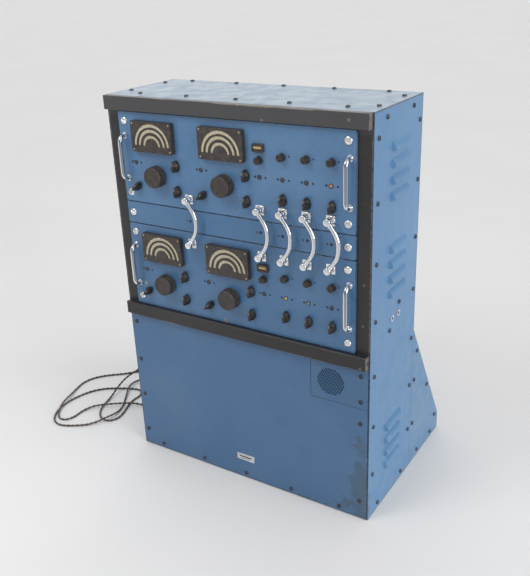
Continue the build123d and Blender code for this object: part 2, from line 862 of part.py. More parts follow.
def corner_radii(points):
    """Largest comfortable arc at each inner point, from its shorter run and its turn."""
    radii = []
    for before, corner, after in zip(points, points[1:], points[2:]):
        run_in = corner - before
        run_out = after - corner
        half_turn = radians(run_in.get_angle(run_out)) / 2
        radii.append(0.45 * min(run_in.length, run_out.length) / tan(half_turn))
    return radii


lead_radii = corner_radii(lead_points)
with BuildPart() as mains_cord:
    with BuildLine() as lead_path:
        FilletPolyline(*lead_points, radius=lead_radii)
    with BuildSketch(Plane(origin=lead_path.line @ 0, z_dir=lead_path.line % 0)):
        Circle(lead_radius)
    sweep()
save(mains_cord.part, "mains_cord")
lead_length = sum(edge.length for edge in lead_path.edges())
lead_volume = pi * lead_radius**2 * lead_length
print("lead radii", [round(radius, 1) for radius in lead_radii])
print("lead length", round(lead_length, 1))
print("lead volume", round(mains_cord.part.volume), "section times length", round(lead_volume))

# Two-blade plug, lying on its flat side with its nose away from the lead.
plug_place = lead_points[-1]
plug_heading = lead_points[-1] - lead_points[-2]
plug_heading = Vector(plug_heading.X, plug_heading.Y, 0).normalized()
plug_plane = Plane(origin=plug_place, x_dir=(plug_heading.Y, -plug_heading.X, 0), z_dir=plug_heading)
plug_body_start = plug_plane.offset(10)
with BuildPart() as mains_plug:
    with BuildSketch(plug_plane):
        Circle(lead_radius + 1)
    with BuildSketch(plug_body_start):
        Circle(6)
    loft()
    with BuildSketch(plug_body_start):
        RectangleRounded(24, 19, 5)
    extrude(amount=24)
    with BuildSketch(plug_plane.offset(34)):
        with Locations((-6.35, 0), (6.35, 0)):
            Rectangle(1.5, 6.4)
    extrude(amount=16)
save(mains_plug.part, "mains_plug")
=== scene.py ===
"""Floor-standing amateur radio transmitter: finishes, small fittings, lead, floor and light."""
from math import cos, pi, radians, sin

import bmesh
import bpy
from mathutils import Matrix, Vector


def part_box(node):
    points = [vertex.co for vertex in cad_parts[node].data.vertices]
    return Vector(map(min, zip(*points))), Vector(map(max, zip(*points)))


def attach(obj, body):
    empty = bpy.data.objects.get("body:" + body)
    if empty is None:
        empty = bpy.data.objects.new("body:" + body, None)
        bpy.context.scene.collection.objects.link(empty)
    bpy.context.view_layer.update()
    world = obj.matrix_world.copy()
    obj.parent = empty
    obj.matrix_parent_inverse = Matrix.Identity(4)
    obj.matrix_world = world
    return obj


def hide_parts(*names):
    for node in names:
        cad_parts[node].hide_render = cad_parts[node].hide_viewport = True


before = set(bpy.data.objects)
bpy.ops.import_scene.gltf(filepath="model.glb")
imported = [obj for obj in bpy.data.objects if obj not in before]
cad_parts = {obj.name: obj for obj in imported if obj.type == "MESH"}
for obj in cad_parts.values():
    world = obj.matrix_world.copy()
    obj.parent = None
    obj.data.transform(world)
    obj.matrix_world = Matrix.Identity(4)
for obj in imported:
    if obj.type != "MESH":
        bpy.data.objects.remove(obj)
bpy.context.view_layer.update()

MM = 0.001

# ---------------------------------------------------------------- places taken from the frame
PANEL_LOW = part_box("lower_unit_panel")[0]
UPPER_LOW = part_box("upper_unit_panel")[0]
LINK_LOW, LINK_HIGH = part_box("link_panel")
COVER_LOW, COVER_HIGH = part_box("top_cover")
FRONT_Y = COVER_LOW.y  # the cabinet's front plane
PANEL_FACE = FRONT_Y - PANEL_LOW.y  # how far the rack panels stand in front of it
HALF_WIDTH = round(COVER_HIGH.x, 5)
TOP_Z = COVER_HIGH.z
BACK_Y = COVER_HIGH.y
SEAM = 0.4 * MM
UNIT_BOTTOM = {"lower": PANEL_LOW.z - SEAM, "upper": UPPER_LOW.z - SEAM}
LINK_MIDDLE = (LINK_LOW.z + LINK_HIGH.z) / 2

# ---------------------------------------------------------------- sizes of the small fittings
DIAL_COLUMNS = (-159.5 * MM, -10.0 * MM)
DIAL_HEIGHT = 127.5 * MM
DIAL_FACE = 14.0 * MM  # bezel face in front of the cabinet's front plane
PIVOT_DROP = 16.0 * MM
SCALE_FACE = 12.0 * MM
SCALE_BANDS = ((40.3, 33.9), (30.7, 24.5), (20.1, 14.1))
SELECTOR_PLACES = (
    (-208.0, 31.7),
    (-113.5, 78.2),
    (-113.5, 31.7),
    (-59.0, 31.3),
    (35.6, 77.4),
    (35.6, 31.9),
    (107.6, 43.0),
    (153.0, 43.0),
    (198.8, 42.8),
)
SLANTED_SELECTORS = (0, 3)
MARK_COLUMNS = (-208.0, -60.0, 62.0, 107.0, 152.0, 197.0)
MARK_HEIGHT = 77.0 * MM
LINK_COLUMNS = (-89.0, 62.0, 107.0, 152.0, 197.0)
LINK_HALF_HEIGHT = 42.0 * MM
LINK_PLANE = 17.0 * MM
HANDLE_X = 229.5 * MM
HANDLE_MIDDLE = 84.9 * MM
HANDLE_HALF_SPAN = 40.0 * MM
HANDLE_REACH = 18.5 * MM
HANDLE_ROD = 4.2 * MM
RACK_SCREW_X = 227.4 * MM
RACK_SCREW_HEIGHTS = (17.7 * MM, 152.1 * MM)
KNOB_BACK = 5.0 * MM  # knob skirts in front of the cabinet's front plane
SHEET = 1.5 * MM


# ================================================================ node helpers
def place(tree, kind, inputs=None, **settings):
    """Add a node, set its properties, and fill its inputs with values or links."""
    node = tree.nodes.new(kind)
    for name, value in settings.items():
        setattr(node, name, value)
    for name, value in (inputs or {}).items():
        socket = node.inputs[name]
        if isinstance(value, bpy.types.NodeSocket):
            tree.links.new(value, socket)
        else:
            socket.default_value = value
    return node


def calculate(tree, operation, *values, clamp=False):
    """Result of one Math node."""
    inputs = dict(enumerate(values))
    return place(tree, "ShaderNodeMath", inputs, operation=operation, use_clamp=clamp).outputs[0]


def fade(tree, value, low, high, start=0.0, end=1.0, smooth=True):
    """Map Range from low..high to start..end."""
    inputs = {"Value": value, "From Min": low, "From Max": high, "To Min": start, "To Max": end}
    shape = "SMOOTHSTEP" if smooth else "LINEAR"
    return place(tree, "ShaderNodeMapRange", inputs, interpolation_type=shape).outputs[0]


def blend_colour(tree, factor, first, second, mode="MIX"):
    """Colour output of a Mix node."""
    node = tree.nodes.new("ShaderNodeMix")
    node.data_type = "RGBA"
    node.blend_type = mode
    for socket, value in ((node.inputs[0], factor), (node.inputs[6], first), (node.inputs[7], second)):
        if isinstance(value, bpy.types.NodeSocket):
            tree.links.new(value, socket)
        else:
            socket.default_value = value
    return node.outputs[2]


def noise(tree, vector, scale, detail=4.0, roughness=0.55):
    """Factor output of a Noise Texture."""
    inputs = {"Vector": vector, "Scale": scale, "Detail": detail, "Roughness": roughness}
    return place(tree, "ShaderNodeTexNoise", inputs).outputs[0]


def new_group(name, inputs, outputs):
    """Empty shader node group with the given sockets, and its two end nodes."""
    group = bpy.data.node_groups.new(name, "ShaderNodeTree")
    for label, kind, default in inputs:
        socket = group.interface.new_socket(label, in_out="INPUT", socket_type=kind)
        if default is not None:
            socket.default_value = default
    for label, kind in outputs:
        group.interface.new_socket(label, in_out="OUTPUT", socket_type=kind)
    return group, group.nodes.new("NodeGroupInput").outputs, group.nodes.new("NodeGroupOutput").inputs


def use_group(tree, group, inputs):
    """Place a shader group in a material and return its outputs."""
    node = tree.nodes.new("ShaderNodeGroup")
    node.node_tree = group
    for name, value in inputs.items():
        socket = node.inputs[name]
        if isinstance(value, bpy.types.NodeSocket):
            tree.links.new(value, socket)
        else:
            socket.default_value = value
    return node.outputs


def colour(red, green, blue):
    """Linear colour with full alpha."""
    return (red, green, blue, 1.0)


# ================================================================ shader effects
def make_edge_group():
    """Mask along the edges of a box, broken up by noise: worn arrises of sheet and bars."""
    group, given, result = new_group(
        "worn_edges",
        [
            ("Position", "NodeSocketVector", None),
            ("Low", "NodeSocketVector", (0, 0, 0)),
            ("High", "NodeSocketVector", (1, 1, 1)),
            ("Width", "NodeSocketFloat", 0.002),
            ("Breakup", "NodeSocketFloat", 0.5),
        ],
        [("Mask", "NodeSocketFloat"), ("Seam", "NodeSocketFloat")],
    )
    from_low = place(
        group, "ShaderNodeVectorMath", {0: given["Position"], 1: given["Low"]}, operation="SUBTRACT"
    )
    from_high = place(
        group, "ShaderNodeVectorMath", {0: given["High"], 1: given["Position"]}, operation="SUBTRACT"
    )
    nearest = place(
        group,
        "ShaderNodeVectorMath",
        {0: from_low.outputs[0], 1: from_high.outputs[0]},
        operation="MINIMUM",
    )
    parts = place(group, "ShaderNodeSeparateXYZ", {0: nearest.outputs[0]}).outputs
    smallest = calculate(group, "MINIMUM", parts[0], calculate(group, "MINIMUM", parts[1], parts[2]))
    largest = calculate(group, "MAXIMUM", parts[0], calculate(group, "MAXIMUM", parts[1], parts[2]))
    total = calculate(group, "ADD", parts[0], calculate(group, "ADD", parts[1], parts[2]))
    edge = calculate(group, "SUBTRACT", calculate(group, "SUBTRACT", total, smallest), largest)
    ragged = noise(group, given["Position"], 120.0, 5.0, 0.7)
    patchy = noise(group, given["Position"], 9.0, 2.0)
    reach = calculate(group, "MULTIPLY", given["Width"], fade(group, patchy, 0.42, 0.68, 0.15, 1.6))
    wander = calculate(group, "MULTIPLY", calculate(group, "SUBTRACT", ragged, 0.5), given["Breakup"])
    shifted = calculate(group, "ADD", edge, calculate(group, "MULTIPLY", wander, given["Width"]))
    ratio = calculate(group, "DIVIDE", shifted, reach)
    group.links.new(fade(group, ratio, 1.0, 0.55), result["Mask"])
    # Seam: a thin ragged line right at the box's edges, used for painted shade in the gaps between parts.
    uneven = fade(group, ragged, 0.3, 0.7, 0.0006, 0.0013)
    seam = calculate(group, "LESS_THAN", edge, uneven)
    group.links.new(seam, result["Seam"])
    return group


def make_chip_group():
    """Small sharp-edged paint chips and specks scattered over a surface."""
    group, given, result = new_group(
        "paint_chips",
        [
            ("Position", "NodeSocketVector", None),
            ("Scale", "NodeSocketFloat", 60.0),
            ("Amount", "NodeSocketFloat", 0.15),
        ],
        [("Mask", "NodeSocketFloat")],
    )
    bent = noise(group, given["Position"], 260.0, 3.0)
    offset = place(
        group,
        "ShaderNodeVectorMath",
        {0: given["Position"], 1: calculate(group, "MULTIPLY", bent, 0.004)},
        operation="ADD",
    ).outputs[0]
    cells = place(group, "ShaderNodeTexVoronoi", {"Vector": offset, "Scale": given["Scale"]})
    lucky = place(group, "ShaderNodeSeparateColor", {0: cells.outputs["Color"]}).outputs
    chosen = calculate(group, "LESS_THAN", lucky[0], given["Amount"])
    size = fade(group, lucky[1], 0.0, 1.0, 0.06, 0.26, smooth=False)
    inside = calculate(group, "LESS_THAN", cells.outputs["Distance"], size)
    group.links.new(calculate(group, "MULTIPLY", chosen, inside), result["Mask"])
    return group


def make_patch_group():
    """Ragged mask around a place: a rubbed or corroded patch."""
    group, given, result = new_group(
        "rubbed_patch",
        [
            ("Position", "NodeSocketVector", None),
            ("Centre", "NodeSocketVector", (0, 0, 0)),
            ("Size", "NodeSocketVector", (0.05, 0.05, 0.05)),
            ("Cover", "NodeSocketFloat", 0.5),
            ("Grain", "NodeSocketFloat", 70.0),
        ],
        [("Mask", "NodeSocketFloat"), ("Chips", "NodeSocketFloat")],
    )
    away = place(
        group, "ShaderNodeVectorMath", {0: given["Position"], 1: given["Centre"]}, operation="SUBTRACT"
    )
    scaled = place(
        group, "ShaderNodeVectorMath", {0: away.outputs[0], 1: given["Size"]}, operation="DIVIDE"
    )
    distance = place(group, "ShaderNodeVectorMath", {0: scaled.outputs[0]}, operation="LENGTH")
    ragged = noise(group, given["Position"], given["Grain"], 6.0, 0.65)
    near = calculate(group, "SUBTRACT", 1.0, distance.outputs["Value"], clamp=True)
    level = calculate(group, "ADD", calculate(group, "MULTIPLY", near, given["Cover"]), ragged)
    mask = fade(group, level, 0.62, 0.80, 0.0, 0.85)
    on_patch = fade(group, near, 0.0, 0.25)
    group.links.new(calculate(group, "MULTIPLY", mask, on_patch), result["Mask"])
    fine = noise(group, given["Position"], 190.0, 4.0, 0.6)
    bare = fade(group, calculate(group, "ADD", calculate(group, "MULTIPLY", near, 0.10), fine), 0.72, 0.74)
    group.links.new(calculate(group, "MULTIPLY", bare, on_patch), result["Chips"])
    return group


def make_enamel_group():
    """Sprayed enamel: cloudy tone, dust, fine scratches and orange peel."""
    group, given, result = new_group(
        "sprayed_enamel",
        [
            ("Position", "NodeSocketVector", None),
            ("Paint", "NodeSocketColor", colour(0.1, 0.2, 0.3)),
            ("Faded", "NodeSocketColor", colour(0.2, 0.3, 0.4)),
            ("Gloss", "NodeSocketFloat", 0.4),
        ],
        [
            ("Color", "NodeSocketColor"),
            ("Roughness", "NodeSocketFloat"),
            ("Height", "NodeSocketFloat"),
        ],
    )
    cloud = noise(group, given["Position"], 5.0, 3.0, 0.5)
    mottle = noise(group, given["Position"], 34.0, 4.0, 0.6)
    peel = noise(group, given["Position"], 620.0, 2.0, 0.5)
    streak_space = place(
        group, "ShaderNodeMapping", {"Vector": given["Position"], "Scale": (160.0, 160.0, 9.0)}
    ).outputs[0]
    streak = noise(group, streak_space, 1.0, 3.0, 0.6)
    broad = calculate(group, "MULTIPLY", cloud, 0.65)
    tone = calculate(group, "ADD", broad, calculate(group, "MULTIPLY", mottle, 0.35))
    faded = blend_colour(group, fade(group, tone, 0.38, 0.66, 0.0, 0.55), given["Paint"], given["Faded"])
    streaked = blend_colour(group, fade(group, streak, 0.52, 0.75, 0.0, 0.05), faded, given["Faded"])
    grey = place(group, "ShaderNodeCombineColor", {0: peel, 1: peel, 2: peel}).outputs[0]
    grain = blend_colour(group, 0.10, streaked, grey, "OVERLAY")
    group.links.new(grain, result["Color"])
    rough = calculate(group, "ADD", given["Gloss"], fade(group, mottle, 0.3, 0.75, -0.06, 0.12))
    scratched = calculate(group, "ADD", rough, fade(group, streak, 0.5, 0.8, 0.0, 0.05))
    group.links.new(scratched, result["Roughness"])
    fine = calculate(group, "MULTIPLY", peel, 0.6)
    height = calculate(group, "ADD", fine, calculate(group, "MULTIPLY", mottle, 0.4))
    group.links.new(height, result["Height"])
    return group


EDGES = make_edge_group()
CHIPS = make_chip_group()
PATCH = make_patch_group()
ENAMEL = make_enamel_group()


# ================================================================ materials
def new_material(name):
    """Material with its tree, object position and Principled shader."""
    material = bpy.data.materials.new(name)
    material.use_nodes = True
    tree = material.node_tree
    shader = tree.nodes["Principled BSDF"]
    position = tree.nodes.new("ShaderNodeTexCoord").outputs["Object"]
    return material, tree, position, shader


def link_surface(tree, shader, base, roughness, height=None, depth=0.0002):
    """Connect colour, roughness and relief to the shader."""
    tree.links.new(base, shader.inputs["Base Color"])
    tree.links.new(roughness, shader.inputs["Roughness"])
    if height is not None:
        bump = place(tree, "ShaderNodeBump", {"Height": height, "Distance": depth, "Strength": 0.6})
        tree.links.new(bump.outputs[0], shader.inputs["Normal"])


BLUE = colour(0.047, 0.140, 0.285)
BLUE_FADED = colour(0.078, 0.180, 0.330)
PRIMER = colour(0.060, 0.070, 0.075)
BARE_STEEL = colour(0.34, 0.32, 0.29)
STAIN = colour(0.040, 0.062, 0.066)
SEAM_SHADE = colour(0.006, 0.016, 0.032)


def painted_light_scale(paint, tint):
    """A paint colour scaled by a factor per channel; the factors given per part are painted light and shade.
    """
    return colour(*(paint[channel] * tint[channel] for channel in range(3)))


def blue_enamel(name, low, high, wear, chips, patches, tint):
    """Blue enamel on a sheet whose edges are those of the box low..high."""
    material, tree, position, shader = new_material(name)
    # The blue is scaled by the part's factor: painted light and shade, paler on lit parts and darker on the
    # front.
    fresh = painted_light_scale(BLUE, tint)
    faded = painted_light_scale(BLUE_FADED, tint)
    paint = use_group(
        tree, ENAMEL, {"Position": position, "Paint": fresh, "Faded": faded, "Gloss": 0.36}
    )
    edges = use_group(
        tree,
        EDGES,
        {
            "Position": position,
            "Low": low - Vector((0.0002,) * 3),
            "High": high + Vector((0.0002,) * 3),
            "Width": 0.0011 * wear,
            "Breakup": 1.1,
        },
    )
    specks = use_group(tree, CHIPS, {"Position": position, "Scale": 42.0, "Amount": chips})["Mask"]
    # Painted shade: a dark blue line along the sheet's edges, where the gaps between parts fall in shadow.
    seamed = blend_colour(
        tree, calculate(tree, "MULTIPLY", edges["Seam"], 0.85), paint["Color"], SEAM_SHADE
    )
    stained = seamed
    rubbed = specks
    for centre, size, cover in patches:
        patch = use_group(
            tree,
            PATCH,
            {"Position": position, "Centre": centre, "Size": size, "Cover": cover, "Grain": 42.0},
        )
        soft = calculate(tree, "MULTIPLY", patch["Mask"], 0.55)
        stained = blend_colour(tree, soft, stained, STAIN)
        rubbed = calculate(tree, "MAXIMUM", rubbed, patch["Chips"])
    height_z = place(tree, "ShaderNodeSeparateXYZ", {0: position}).outputs[2]
    near_foot = fade(tree, height_z, 0.0, 0.012, 1.0, 0.18)
    worn = calculate(tree, "MAXIMUM", calculate(tree, "MULTIPLY", edges["Mask"], near_foot), rubbed)
    tone = fade(tree, noise(tree, position, 300.0), 0.42, 0.60)
    under = blend_colour(tree, tone, PRIMER, BARE_STEEL)
    base = blend_colour(tree, worn, stained, under)
    roughness = calculate(tree, "ADD", paint["Roughness"], calculate(tree, "MULTIPLY", worn, 0.25))
    height = calculate(tree, "SUBTRACT", calculate(tree, "MULTIPLY", paint["Height"], 0.25), worn)
    link_surface(tree, shader, base, roughness, height, 0.00012)
    shader.inputs["Coat Weight"].default_value = 0.25
    shader.inputs["Coat Roughness"].default_value = 0.22
    return material


def black_enamel(name, low, high):
    """Satin black on the trim, rubbed to a warm grey on its arrises and ends."""
    material, tree, position, shader = new_material(name)
    paint = use_group(
        tree,
        ENAMEL,
        {
            "Position": position,
            "Paint": colour(0.014, 0.0135, 0.014),
            "Faded": colour(0.034, 0.031, 0.030),
            "Gloss": 0.42,
        },
    )
    across, behind, height_z = place(tree, "ShaderNodeSeparateXYZ", {0: position}).outputs
    # Painted light: the top bar is mixed towards a paler blue-grey, as if it catches more light from above.
    dust_and_painted_light = fade(tree, height_z, high.z - 0.040, high.z - 0.030, 0.0, 0.55)
    enamel = blend_colour(tree, dust_and_painted_light, paint["Color"], colour(0.075, 0.074, 0.080))
    edges = use_group(
        tree,
        EDGES,
        {"Position": position, "Low": low, "High": high, "Width": 0.0016, "Breakup": 1.6},
    )["Mask"]
    end_face = fade(tree, calculate(tree, "ABSOLUTE", across), high.x - 0.0026, high.x - 0.0006)
    front = fade(tree, behind, FRONT_Y + 0.001, FRONT_Y - 0.001)
    corner = calculate(tree, "MULTIPLY", end_face, front)
    ragged = fade(tree, noise(tree, position, 140.0), 0.34, 0.5)
    rubbed = calculate(tree, "MULTIPLY", corner, ragged)
    worn = calculate(tree, "MAXIMUM", edges, rubbed)
    specks = use_group(tree, CHIPS, {"Position": position, "Scale": 90.0, "Amount": 0.10})["Mask"]
    marked = calculate(tree, "MAXIMUM", worn, calculate(tree, "MULTIPLY", specks, 0.6))
    tone = fade(tree, noise(tree, position, 220.0), 0.4, 0.6)
    bare = blend_colour(tree, tone, colour(0.13, 0.105, 0.085), colour(0.20, 0.18, 0.155))
    base = blend_colour(tree, marked, enamel, bare)
    link_surface(tree, shader, base, paint["Roughness"], paint["Height"], 0.00006)
    return material


def plated_metal(name, tint, roughness, scratch=0.05, tarnish=0.25, tarnish_colour=None, facing_reflection=None):
    """Plating with fine scratches and cloudy tarnish; with a facing colour given, a painted reflection shifts
    it to that colour where the surface faces the eye.
    """
    material, tree, position, shader = new_material(name)
    cloud = noise(tree, position, 60.0, 5.0, 0.6)
    fine = noise(tree, position, 900.0, 2.0)
    dull = fade(tree, cloud, 0.50, 0.72, 0.0, tarnish)
    base = blend_colour(tree, dull, tint, tarnish_colour or colour(0.30, 0.27, 0.23))
    if facing_reflection:
        # Painted reflection: the plating takes the given colour where it faces the eye, standing in for a
        # darker surround reflected in it.
        facing = place(tree, "ShaderNodeLayerWeight", {"Blend": 0.5}).outputs["Facing"]
        painted_reflection_mask = fade(tree, facing, 0.10, 0.34, 1.0, 0.0)
        base = blend_colour(tree, painted_reflection_mask, base, facing_reflection)
    rough = calculate(tree, "ADD", roughness, fade(tree, cloud, 0.35, 0.75, 0.0, 0.16))
    rough = calculate(tree, "ADD", rough, calculate(tree, "MULTIPLY", fine, scratch))
    link_surface(tree, shader, base, rough, fine, 0.00001)
    shader.inputs["Metallic"].default_value = 1.0
    return material


def moulded_plastic(name, body, worn_tone, roughness):
    """Dark phenolic moulding: mottled, slightly glossy, rubbed paler in places."""
    material, tree, position, shader = new_material(name)
    mottle = noise(tree, position, 130.0, 5.0, 0.62)
    speck = noise(tree, position, 380.0, 3.0)
    base = blend_colour(tree, fade(tree, mottle, 0.44, 0.70, 0.0, 0.8), body, worn_tone)
    base = blend_colour(tree, fade(tree, speck, 0.60, 0.72, 0.0, 0.35), base, worn_tone)
    rough = calculate(tree, "ADD", roughness, fade(tree, mottle, 0.35, 0.7, -0.05, 0.14))
    link_surface(tree, shader, base, rough, speck, 0.00004)
    return material


def printed(name, tint, dirt, roughness=0.5):
    """Flat print or lacquer with a little dirt in it."""
    material, tree, position, shader = new_material(name)
    cloud = noise(tree, position, 210.0, 5.0, 0.6)
    base = blend_colour(tree, fade(tree, cloud, 0.45, 0.75, 0.0, 0.6), tint, dirt)
    rough = fade(tree, cloud, 0.2, 0.8, roughness - 0.08, roughness + 0.12)
    link_surface(tree, shader, base, rough, cloud, 0.00002)
    return material


def jewel(name, tint):
    """Clear coloured lens of a pilot lamp."""
    material, tree, position, shader = new_material(name)
    cloud = noise(tree, position, 500.0, 2.0)
    base = blend_colour(tree, fade(tree, cloud, 0.4, 0.7, 0.0, 0.35), tint, colour(0.02, 0.02, 0.02))
    link_surface(tree, shader, base, fade(tree, cloud, 0.3, 0.7, 0.08, 0.2))
    shader.inputs["Coat Weight"].default_value = 0.8
    return material


def sheet_metal(name, tint):
    """Plain grey sheet inside the case."""
    material, tree, position, shader = new_material(name)
    paint = use_group(
        tree, ENAMEL, {"Position": position, "Paint": tint, "Faded": colour(0.30, 0.30, 0.30), "Gloss": 0.45}
    )
    link_surface(tree, shader, paint["Color"], paint["Roughness"], paint["Height"], 0.00008)
    shader.inputs["Metallic"].default_value = 0.7
    return material


def braided_cotton():
    """Cotton braid on the lead: crossing threads from the strand's own length and girth."""
    material, tree, position, shader = new_material("braided_cotton")
    lead_map = place(tree, "ShaderNodeUVMap", uv_map="lead").outputs[0]
    along = place(tree, "ShaderNodeSeparateXYZ", {0: lead_map}).outputs
    run = calculate(tree, "MULTIPLY", along[1], 0.9)
    lays = []
    for operation in ("ADD", "SUBTRACT"):
        slant = calculate(tree, "MULTIPLY", calculate(tree, operation, along[0], run), 2 * pi * 3)
        lays.append(calculate(tree, "SINE", slant))
    crossing = calculate(tree, "MAXIMUM", *lays)
    wave = calculate(tree, "SINE", calculate(tree, "MULTIPLY", along[1], 1.25))
    tracer = calculate(tree, "GREATER_THAN", wave, 0.35)
    dust = noise(tree, position, 130.0, 4.0)
    lit = fade(tree, crossing, -0.4, 0.9)
    threads = blend_colour(tree, lit, colour(0.012, 0.010, 0.010), colour(0.070, 0.050, 0.042))
    marked = calculate(tree, "MULTIPLY", tracer, 0.35)
    traced = blend_colour(tree, marked, threads, colour(0.23, 0.15, 0.13))
    dust_and_painted_light = fade(tree, dust, 0.45, 0.75, 0.0, 0.45)
    base = blend_colour(tree, dust_and_painted_light, traced, colour(0.16, 0.13, 0.12))
    link_surface(tree, shader, base, fade(tree, dust, 0.2, 0.8, 0.75, 0.95), crossing, 0.00035)
    shader.inputs["Sheen Weight"].default_value = 0.3
    return material


CHROME = plated_metal("bright_plating", colour(0.80, 0.80, 0.80), 0.06, 0.03, 0.25)
# The rod and link plating carry a painted reflection: a darker colour where they face the eye.
ROD_CHROME = plated_metal(
    "rod_plating", colour(0.84, 0.84, 0.85), 0.05, 0.03, 0.2, facing_reflection=colour(0.28, 0.31, 0.36)
)
LINK_CHROME = plated_metal(
    "link_plating", colour(0.88, 0.88, 0.88), 0.06, 0.03, 0.2, facing_reflection=colour(0.62, 0.63, 0.66)
)
RACK_SCREW_METAL = plated_metal("rack_screw_plating", colour(0.80, 0.79, 0.77), 0.20, 0.08, 0.5)
CASE_SCREW_METAL = plated_metal(
    "case_screw_steel", colour(0.085, 0.090, 0.098), 0.34, 0.1, 0.8, colour(0.075, 0.050, 0.036)
)
BRASS = plated_metal("small_brass", colour(0.40, 0.34, 0.24), 0.28, 0.1, 0.7)
NAME_PLATE_METAL = plated_metal("name_plate_metal", colour(0.75, 0.75, 0.74), 0.30, 0.1, 0.4)
PHENOLIC = moulded_plastic("knob_phenolic", colour(0.018, 0.015, 0.013), colour(0.050, 0.040, 0.034), 0.27)
TUNING_PHENOLIC = moulded_plastic(
    "tuning_phenolic", colour(0.030, 0.025, 0.022), colour(0.070, 0.058, 0.050), 0.46
)
BEZEL = moulded_plastic("bezel_moulding", colour(0.030, 0.025, 0.023), colour(0.078, 0.062, 0.052), 0.42)
RUBBER = moulded_plastic("plug_rubber", colour(0.016, 0.015, 0.014), colour(0.045, 0.042, 0.040), 0.62)
CREAM = printed("cream_scale", colour(0.66, 0.60, 0.44), colour(0.48, 0.40, 0.24))
INK = printed("scale_ink", colour(0.030, 0.024, 0.018), colour(0.09, 0.07, 0.05))
NEEDLE_PAINT = printed("needle_paint", colour(0.50, 0.44, 0.31), colour(0.36, 0.30, 0.19), 0.4)
INDEX_PAINT = printed("index_paint", colour(0.42, 0.40, 0.36), colour(0.16, 0.14, 0.12), 0.5)
AMBER = printed("amber_drum", colour(0.44, 0.33, 0.14), colour(0.25, 0.18, 0.08))
ENGRAVING = printed("engraved_mark", colour(0.014, 0.026, 0.050), colour(0.035, 0.055, 0.09), 0.6)
CLOTH = printed("speaker_cloth", colour(0.003, 0.003, 0.004), colour(0.008, 0.008, 0.009), 0.95)
JEWELS = {
    # Near-black lens: painted shade standing in for the inside of a pin hole.
    "dark": jewel("dark_jewel", colour(0.008, 0.012, 0.014)),
    "rose": jewel("rose_jewel", colour(0.45, 0.20, 0.12)),
    "amber": jewel("amber_jewel", colour(0.42, 0.34, 0.13)),
    "green": jewel("green_jewel", colour(0.16, 0.22, 0.13)),
}


# ================================================================ finishes on the modelled parts
def give_finish(node, material):
    """Put one material on a part that is kept as modelled."""
    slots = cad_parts[node].material_slots
    for slot in slots:
        slot.material = material
    if not slots:
        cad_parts[node].data.materials.append(material)


FRONT_PATCHES = [
    (Vector((0.262, FRONT_Y, 0.040)), Vector((0.050, 0.05, 0.130)), 0.55),
    (Vector((0.225, FRONT_Y, 0.030)), Vector((0.045, 0.05, 0.045)), 0.30),
    (Vector((0.252, FRONT_Y, 0.150)), Vector((0.034, 0.05, 0.045)), 0.32),
    (Vector((0.130, FRONT_Y, 0.004)), Vector((0.090, 0.05, 0.012)), 0.30),
    (Vector((-0.262, FRONT_Y, 0.008)), Vector((0.016, 0.05, 0.016)), 0.34),
]
SIDE_PATCHES = [
    (Vector((HALF_WIDTH, FRONT_Y + 0.080, 0.125)), Vector((0.05, 0.045, 0.070)), 0.10),
    (Vector((HALF_WIDTH, FRONT_Y + 0.004, 0.030)), Vector((0.05, 0.012, 0.060)), 0.30),
]
SEAM_PATCHES = [(Vector((-0.135, PANEL_LOW.y, UPPER_LOW.z)), Vector((0.012, 0.05, 0.003)), 0.2)]
# Per part: edge wear, chips, patches and a colour factor. The factor is painted light and shade: the sides,
# top, rear cover, foot and upper unit panel are made paler (the top also greyer) as if lit, and the front and
# speaker panels darker as if shaded.
blue_parts = {
    "top_cover": (0.8, 0.02, [], (1.42, 0.98, 0.74)),
    "left_side_panel": (1.0, 0.04, [], (1.25, 1.20, 1.14)),
    "right_side_panel": (1.0, 0.04, SIDE_PATCHES, (1.25, 1.20, 1.14)),
    "rear_cover": (0.8, 0.04, [], (1.1, 1.1, 1.1)),
    "rear_foot": (1.1, 0.05, [], (1.35, 1.22, 1.10)),
    "lower_front_panel": (1.2, 0.045, FRONT_PATCHES, (0.90, 0.86, 0.87)),
    "speaker_panel": (0.9, 0.03, [], (0.86, 0.82, 0.82)),
    "upper_unit_panel": (0.7, 0.02, SEAM_PATCHES, (1.35, 1.15, 1.08)),
    "link_panel": (0.8, 0.02, SEAM_PATCHES, (1.05, 0.98, 0.95)),
    "lower_unit_panel": (0.7, 0.03, [], (1.02, 0.96, 0.94)),
}
for node_name, (wear, chips, patches, tint) in blue_parts.items():
    low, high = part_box(node_name)
    low.x = max(low.x, -HALF_WIDTH)
    high.x = min(high.x, HALF_WIDTH)
    give_finish(node_name, blue_enamel(f"blue_{node_name}", low, high, wear, chips, patches, tint))
give_finish("front_trim", black_enamel("black_front_trim", *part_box("front_trim")))
give_finish("cabinet_frame", sheet_metal("frame_primer", colour(0.11, 0.12, 0.13)))
give_finish("unit_chassis", sheet_metal("chassis_sheet", colour(0.42, 0.42, 0.42)))
give_finish("power_supply", sheet_metal("supply_grey", colour(0.13, 0.14, 0.15)))
give_finish("dial_bezels", BEZEL)
give_finish("coax_sockets", CHROME)
for unit in UNIT_BOTTOM:
    for hand in ("left", "right"):
        give_finish(f"{unit}_{hand}_dial_pointer", NEEDLE_PAINT)


# ================================================================ mesh helpers
def facing_front(x, z, proud=0.0):
    """Frame on the front plane: X to the right, Y up, Z towards the operator."""
    return Matrix(((1, 0, 0, x), (0, 0, -1, FRONT_Y - proud), (0, 1, 0, z), (0, 0, 0, 1)))


def facing_side(side):
    """Frame on a side of the cabinet, Z outwards, X towards the rear on the right side."""
    return Matrix(((0, 0, side, side * HALF_WIDTH), (side, 0, 0, 0), (0, 1, 0, 0), (0, 0, 0, 1)))


def facing_rear():
    """Frame on the rear cover, Z outwards."""
    return Matrix(((-1, 0, 0, 0), (0, 0, 1, BACK_Y), (0, 1, 0, 0), (0, 0, 0, 1)))


